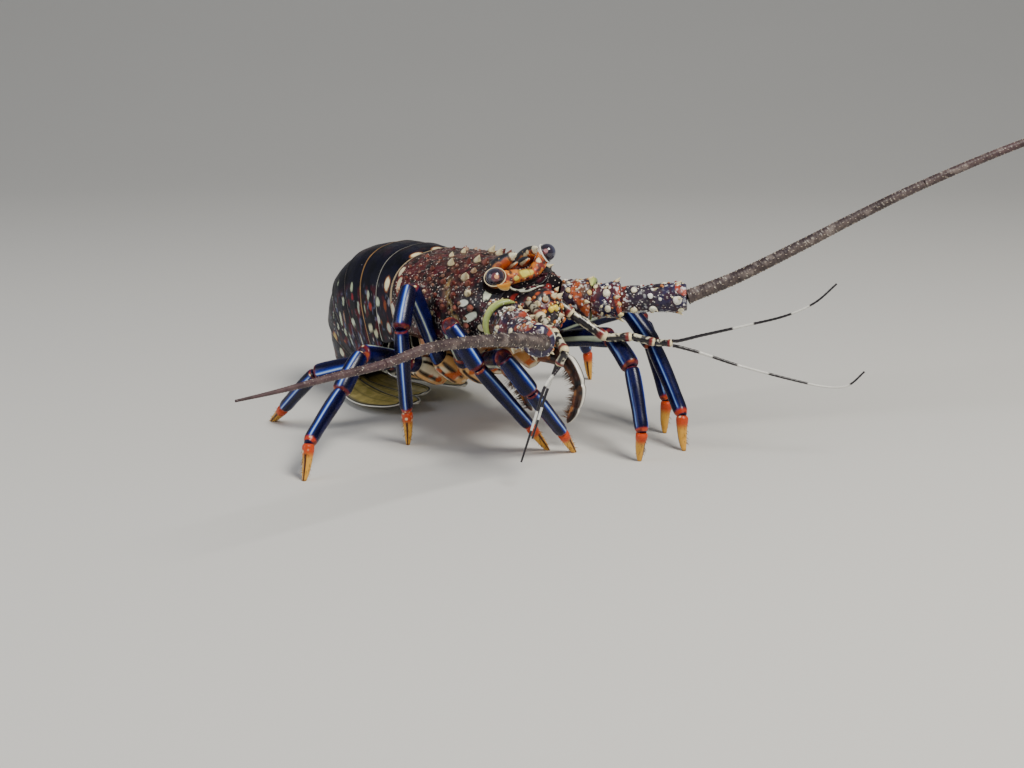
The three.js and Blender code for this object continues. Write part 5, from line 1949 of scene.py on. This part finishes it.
    @staticmethod
    def horn_marks(p: Points, rows: Values, angle: Values, side: Side, lobe: bool) -> Marks:
        """Colours of a horn or of the lobe at its foot.

        Args:
            p: Its points.
            rows: Share along it of each point.
            angle: Angle round it, from the left over the top.
            side: Side of the body.
            lobe: Whether it is the lobe.

        Returns:
            Marks for every point.
        """
        ragged = 0.3 * (clouds(p, 1.8, 1) - 0.5)
        above = np.sin(angle) + ragged
        inward = -side.value * np.cos(angle)
        marks = Marks(p).lay("#C4541C")
        marks.blotch("#E58F3A", 2.4, 6, 0.5, 0.7, 0.85)
        if lobe:
            marks.lay("#12101E", smooth(-0.35, 0.05, above))
            marks.lay("#EFE4BE", smooth(0.5, 0.58, rows) * smooth(0.5, 0.2, np.abs(above + 0.35)))
            return marks
        marks.lay("#12101E", smooth(0.05, 0.35, above)).lay("#12101E", smooth(0.34, 0.26, rows + ragged))
        for at, high, long in ((0.6, -0.1, 0.07), (0.7, 0.15, 0.05), (0.48, -0.5, 0.05)):
            off = np.hypot((rows - at) / long, (above - high) / 0.45)
            marks.lay("#F0D9A4", smooth(1.1, 0.7, off) * smooth(0, 0.3, inward))
        marks.blotch("#8A2C1C", 1.9, 16, 0.6, 0.7, 0.8 * smooth(0.3, 0.0, above))
        marks.dot("#EFC98C", 1.9, 0.5, 0.4, 26, 0.8).lay("#EFE6C4", smooth(0.82, 0.86, rows + 0.3 * ragged))
        marks.lay("#2A2A22", 0.8 * smooth(0.78, 0.8, rows) * smooth(0.85, 0.82, rows))
        return marks

    def stalk(self, side: Side) -> list[Skin]:
        """The stalk with the cup and the pale rim that hold the eye, and the right one's flange.

        Args:
            side: Side of the body.

        Returns:
            Its skins.
        """
        eye, s, cup = EYES[side], side.value, self.eye_radius[side] + self.cup_wall
        route = [
            (38.4, 0.15 * s, 12.8), (38.4, 3.2 * s, 12.8), (38.6, 7.4 * s, (12.4 + eye[2]) / 2),
            (37.2, eye[1] - 3.4 * s, eye[2] - 1), (36, eye[1] - 0.8 * s, eye[2] - 0.2),
        ]
        path = curve_through(np.array(route), 60)
        radius = np.interp(np.linspace(0, 1, 60), np.linspace(0, 1, 5), self.stalk_radii)
        rings = tube(path, radius, radius, np.array([1, 0, 0]), 60)
        off = rings - eye
        reach = np.linalg.norm(off, axis=-1, keepdims=True)
        rings = np.where(reach < cup, eye + off / reach * (cup - 0.15), rings)
        gaze = unit(np.array(self.gaze[side]))
        past = np.maximum((rings - eye) @ gaze - (self.rim_at[side] - 0.5), 0)
        rings = rings - gaze * past[..., None]
        rings = rings + 0.5 * unit(rings - path[:, None, :]) * (clouds(rings, 2.2, 29) - 0.5)[..., None]
        stalk = Skin(rings)
        p = stalk.flat
        stalk.marks.lay("#D8822E").blotch("#B5481E", 2.4, 3, 0.5, 0.7, 0.85)
        stalk.marks.blotch("#7A2420", 1.9, 13, 0.54, 0.64, 0.9).dot("#F0D9AC", 2.1, 0.55, 0.4, 23, 0.85)
        stalk.marks.blotch("#1E1018", 1.7, 43, 0.66, 0.74, 0.85)
        # Painted shade: dark maroon on the lower side of the stalks near the middle, in the hollow under their bridge
        stalk.marks.lay("#2A1218", 0.8 * smooth(1.0, 2.2, 12.2 - p[:, 2]) * (np.abs(p[:, 1]) < 9))
        for spot in STALK_SPOTS:
            spot.on(stalk.marks)
        return [stalk, self.cup(side), self.rim(side), *([self.flange()] if side is Side.RIGHT else [])]

    def axes(self, side: Side) -> tuple[Points, Points, Points]:
        """The eye's gaze and two directions square to it."""
        way = unit(np.array(self.gaze[side]))
        first = unit(np.cross(way, [0, 0, 1]))
        return way, first, np.cross(way, first)

    def cup(self, side: Side) -> Skin:
        """The thin cup round the back of the eye."""
        way, first, second = self.axes(side)
        cup = self.eye_radius[side] + self.cup_wall
        edge = math.acos(self.rim_at[side] / cup)
        outside = np.linspace(np.pi - 0.02, edge, 40)
        inside = np.linspace(edge + 0.02, np.pi - 0.02, 16)
        lat = np.concatenate([outside, inside])
        reach = np.concatenate([np.full(40, cup), np.full(16, self.eye_radius[side] + 0.08)])
        skin = Skin(EYES[side] + reach[:, None, None] * globe(way, first, second, lat, turns(90)))
        p = skin.flat
        skin.marks.lay("#D9852F").blotch("#F0B64E", 2.2, 33, 0.45, 0.65, 0.8)
        skin.marks.lay("#3A1A24", 0.9 * smooth(0.25, 0.6, (p - EYES[side])[:, 1] * side.value / cup))
        CUP_SPOT.on(skin.marks)
        return skin

    def rim(self, side: Side) -> Skin:
        """The pale bead along the cup's edge."""
        way, first, second = self.axes(side)
        turn = np.linspace(0, 2 * np.pi, 90)
        out = first * np.cos(turn)[:, None] + second * np.sin(turn)[:, None]
        middle = EYES[side] + way * self.rim_at[side]
        wide = math.sqrt((self.eye_radius[side] + self.cup_wall) ** 2 - self.rim_at[side] ** 2)
        small = turns(12)
        hoop = (middle + wide * out)[:, None, :] + (0.24 if side is Side.RIGHT else 0.36) * (
            out[:, None, :] * np.cos(small)[None, :, None] + way * np.sin(small)[None, :, None]
        )
        skin = Skin(hoop, capped=False)
        skin.marks.lay("#DCCBA4" if side is Side.RIGHT else "#F0EEE4")
        return skin

    def flange(self) -> Skin:
        """The yellow flange that hangs under the right stalk, with a pale edge."""
        path = curve_through(((39.6, -17, 12.4), (40.4, -14.8, 11.2), (40.9, -12.2, 10.9), (40.2, -10.4, 12.2)), 40)
        t = np.linspace(0, 1, 40)
        wide = np.interp(t, [0, 0.3, 0.65, 0.9, 1], [0.3, 1.5, 2.0, 1.5, 0.3])
        rings = tube(path, wide, 0.3 + 0 * t, np.array([0.5, 0, 1]), 32)
        skin = Skin(rings)
        _, rows, around = spread(rings, t)
        low = -np.cos(around)
        skin.marks.lay("#E59A34").lay("#F2C264", smooth(-0.2, 0.5, low)).lay("#F3EAD0", smooth(0.72, 0.85, low))
        skin.marks.lay("#B9B09A", smooth(0.84, 0.92, rows))
        return skin

    def eyeball(self, side: Side) -> Skin:
        """The eye: a dark ball with a painted reddish reflection on the side that faces the camera, a painted highlight
        beside it, and a painted blue-grey reflection towards its edge.
        """
        ball = globe(*self.axes(side), eased(90) * np.pi, turns(120))
        rings = (EYES[side] + self.eye_radius[side] * ball)[1:-1]
        out = unit(rings.reshape(-1, 3) - EYES[side])
        painted_reflection_way = unit(np.array(self.painted_reflection_way[side]))
        facing = out @ painted_reflection_way
        glint = out @ unit(painted_reflection_way + np.array([0.06, 0.11, 0.04]))
        small = side is Side.LEFT
        # Painted reflection: blue-grey towards the ball's edge as seen from the camera
        marks = Marks(out).lay("#4E5470", 0.5 * smooth(0.75, 0.35, facing))
        # Painted reflection: a reddish disc on the side that faces the camera
        marks.lay("#6E3A44", 0.85 * smooth(0.93 if small else 0.86, 0.96 if small else 0.91, facing))
        # Painted highlight: a small glint beside the reddish disc
        marks.lay("#B98A8C" if small else "#E8A878", 0.95 * smooth(0.965, 0.98, glint))
        return Skin(rings, marks)

    def pieces(self) -> Iterator[Piece]:
        """The plate, both horns, both stalks and both eyes."""
        yield "head_plate", self.front_plate(), BLACK_SHELL, "joint_orange", "head_front"
        for side in Side:
            horn, stalk, eye = (f"{part}_{side.word}" for part in ("horn", "eyestalk", "eye"))
            yield f"{horn}_blade", self.horn(side), IVORY_HORN, "horn", horn
            yield f"{stalk}_cup", self.stalk(side), JOINT_SKIN, "joint_orange", stalk
            yield f"{eye}_ball", [self.eyeball(side)], Cornea(), "cornea", eye


# Knobs of the plate between the antennae: place on the right side, radius and colour
PLATE_KNOBS = (
    ((49.4, -5.9, 2.0), 1.3, CREAM), ((51.0, -2.3, 3.2), 1.2, CREAM), ((52.0, -1.0, -1.6), 1.5, "#E2C84A"),
    ((51.4, -5.0, -1.9), 1.1, "#E0952E"), ((47.5, -8.2, -3.0), 1.1, CREAM), ((46.5, -7.6, 4.4), 0.9, CREAM),
    ((50.8, -3.4, -5.6), 1.3, CREAM), ((49.6, -6.0, -8.2), 1.1, "#C4702E"),
)

# Patches of the eyestalks, in the same columns and for one side each
STALK_SPOTS = tuple(
    Spot(*row) for row in (
        ((41.2, -2.2, 14.6), 3.3, 2.1, "#D6CC56", "#9A6A24", (0, 1, 0.1), Side.RIGHT),
        ((41.3, 0.4, 13.8), 1.8, 1.4, "#DAC650", None, (0, 1, 0.6), Side.RIGHT),
        ((41.3, 0.2, 14.6), 1.4, 1.2, "#D6CC56", None, (0, 1, 0), Side.LEFT),
        ((41.3, -7.7, 13.0), 1.3, 1.1, "#DCCB54", "#8E5A1E", (0, 1, 0), Side.RIGHT),
        ((41.4, -10.6, 13.4), 0.9, 0.8, "#F0D2B0", None, (0, 1, 0), Side.RIGHT),
        ((40.2, -6.6, 17.2), 1.6, 1.4, "#EFE6B8", "#A8401E", (0, 1, 0.3), Side.LEFT),
        ((40.8, -8.2, 14.4), 3.6, 1.5, "#7E241C", None, (0, 1, 0.4), Side.LEFT),
        ((36.2, -10.9, 20.4), 2.9, 1.5, "#F1EFE6", None, (0.1, 0.3, 1), Side.LEFT),
    )
)

CUP_SPOT = Spot((34.2, -10.9, 18.9), 3.4, 1.9, "#F4F3EE", None, (0.1, 0, 1), Side.LEFT)


@dataclass
class Breast(Assembly):
    """The plate between the legs, cream and orange with black seams."""

    stations: Table = (
        (-31, 15, -22.5), (-26, 17, -24), (-17, 17, -25), (-4, 15, -25), (9, 12, -24), (20, 9, -22.5), (26, 6.5, -20),
    )
    outline: Table = ((-1, 1, 0), (-1, 0, 2), (-0.5, 0, 0), (0, 0, 0.2), (0.5, 0, 0), (1, 0, 2), (1, 1, 0), (0, 1, 0))

    @staticmethod
    def seams(x: Values) -> Values:
        """A wave along the body that peaks at the seams between the legs."""
        return np.cos((x + 28) / 12 * 2 * np.pi)

    def pieces(self) -> Iterator[Piece]:
        """The plate."""
        steps, corners = 100, 8
        x = np.linspace(self.stations[0][0], self.stations[-1][0], steps)
        half, low = between(self.stations, x, 1), between(self.stations, x, 2)
        outline = np.array([*self.outline, self.outline[0]], float)
        ring = np.arange(corners * corners) / corners
        share, top, lift = (np.interp(ring, np.arange(corners + 1), outline[:, c]) for c in range(3))
        points = np.zeros((steps, len(ring), 3))
        points[..., 0] = x[:, None]
        points[..., 1] = half[:, None] * share
        seam = 0.35 * smooth(0.86, 0.98, self.seams(x))
        points[..., 2] = (low[:, None] + lift + seam[:, None]) * (1 - top) - 5 * top
        skin = Skin(points)
        skin.marks.lay("#DDB98A").blotch("#C9702E", 5, 3, 0.55, 0.75, 0.8)
        skin.marks.lay("#1A1014", smooth(0.9, 0.99, self.seams(skin.flat[:, 0])))
        yield "breast_plate", [skin], JOINT_SKIN, "breast_plate", "sternum"


@dataclass(frozen=True)
class Lamp:
    """A square lamp that hangs some metres to the right of the target, above it and towards the camera."""

    name: str
    place: Place
    size: float
    power: float
    tone: str


@dataclass
class Studio:
    """Pale floor that sweeps up behind, soft lights and the camera at the photograph's angle."""

    target: Place = (-88.9, -48.8, 9.4)
    azimuth: float = 52.8
    elevation: float = 13.3
    distance: float = 787.0
    lens: float = 58.9
    sensor: float = 36.0
    floor_tone: str = "#D9D8D4"
    floor_reach: tuple[float, float] = (1.6, -0.9)
    floor_half: float = 3.5
    sweep: float = 1.9
    wall: float = 3.5
    lamps: Sequence[Lamp] = (
        Lamp("key", (0.45, 0.85, 0.85), 0.42, 17.0, "#FFFAF0"), Lamp("fill", (-1.1, 0.35, 0.6), 0.9, 6.0, "#EEF3FF"),
    )
    room_tone: str = "#E6E8EC"
    room_strength: float = 0.34

    def axes(self) -> tuple[Vector, Vector, Vector]:
        """Right, up and back of the camera."""
        a, e = math.radians(self.azimuth), math.radians(self.elevation)
        back = Vector((math.cos(e) * math.sin(a), -math.cos(e) * math.cos(a), math.sin(e)))
        right = Vector((math.cos(a), math.sin(a), 0))
        return right, back.cross(right), back

    def place_camera(self) -> None:
        """Set the camera."""
        right, up, back = self.axes()
        data = bpy.data.cameras.new("camera")
        data.sensor_width, data.lens, data.clip_start = self.sensor, self.lens, 0.01
        camera = add_object("camera", data)
        place = (Vector(self.target) + back * self.distance) * MM
        rotation = Matrix((right, up, back)).transposed().to_4x4()
        camera.matrix_world = Matrix.Translation(place) @ rotation
        bpy.context.scene.camera = camera

    def lay_floor(self) -> None:
        """Lay the floor and its sweep."""
        right, _, back = self.axes()
        flat_back = Vector((back.x, back.y, 0)).normalized()
        near, far = self.floor_reach
        turn = np.linspace(0.05, math.pi / 2, 28)
        bend = [(far - self.sweep * math.sin(a), self.sweep * (1 - math.cos(a))) for a in turn]
        profile = [(near, 0.0), (far, 0.0), *bend, (far - self.sweep, self.wall)]
        half = self.floor_half
        points = [flat_back * y + right * x + Vector((0, 0, z)) for y, z in profile for x in (-half, half)]
        faces = [(2 * i, 2 * i + 1, 2 * i + 3, 2 * i + 2) for i in range(len(profile) - 1)]
        mesh = bpy.data.meshes.new("floor_sweep")
        mesh.from_pydata(points, [], faces)
        mesh.polygons.foreach_set("use_smooth", [True] * len(faces))
        floor = add_object("floor_sweep", mesh)
        made, node, place = new_material("painted_board_pale")
        noise = node("TexNoise", {"Vector": place, "Scale": 3.0})
        tone = linear(self.floor_tone)
        darker = tuple(0.96 * c for c in tone)
        mix = node("Mix", {0: noise.outputs[0], 6: (*tone, 1), 7: (*darker, 1)}, data_type="RGBA")
        shader = node("BsdfPrincipled", {"Base Color": mix.outputs[2], "Roughness": 0.85})
        node("OutputMaterial", {"Surface": shader.outputs[0]})
        mesh.materials.append(made)

    def hang_lights(self) -> None:
        """Hang a large key light, a fill and a pale sky."""
        right, up, back = self.axes()
        middle = Vector(self.target) * MM
        for lamp in self.lamps:
            data = bpy.data.lights.new(lamp.name, "AREA")
            data.size, data.energy, data.color = lamp.size, lamp.power, linear(lamp.tone)
            place = right * lamp.place[0] + up * lamp.place[1] + back * lamp.place[2]
            made = add_object(lamp.name, data)
            made.location = middle + place
            made.rotation_euler = (-place).to_track_quat("-Z", "Y").to_euler()
        world = bpy.data.worlds.new("pale_room")
        world.use_nodes = True
        light = world.node_tree.nodes["Background"].inputs
        light[0].default_value, light[1].default_value = (*linear(self.room_tone), 1), self.room_strength
        bpy.context.scene.world = world

    def build(self) -> None:
        """Set the camera, the floor and the lights."""
        self.place_camera()
        self.lay_floor()
        self.hang_lights()


def main() -> None:
    """Build the studio and every part of the animal, and report each piece."""
    logging.basicConfig(level=logging.INFO, format="%(name)s: %(message)s")
    Studio().build()
    assemblies = (Carapace(), Tail(), TailFan(), Legs(), Antennae(), Antennules(), Maxillipeds(), Head(), Breast())
    for assembly in assemblies:
        for made in assembly.build():
            LOG.info("%s: %s with %d faces", type(assembly).__name__, made.name, len(made.data.polygons))


if __name__ == "__main__":
    main()
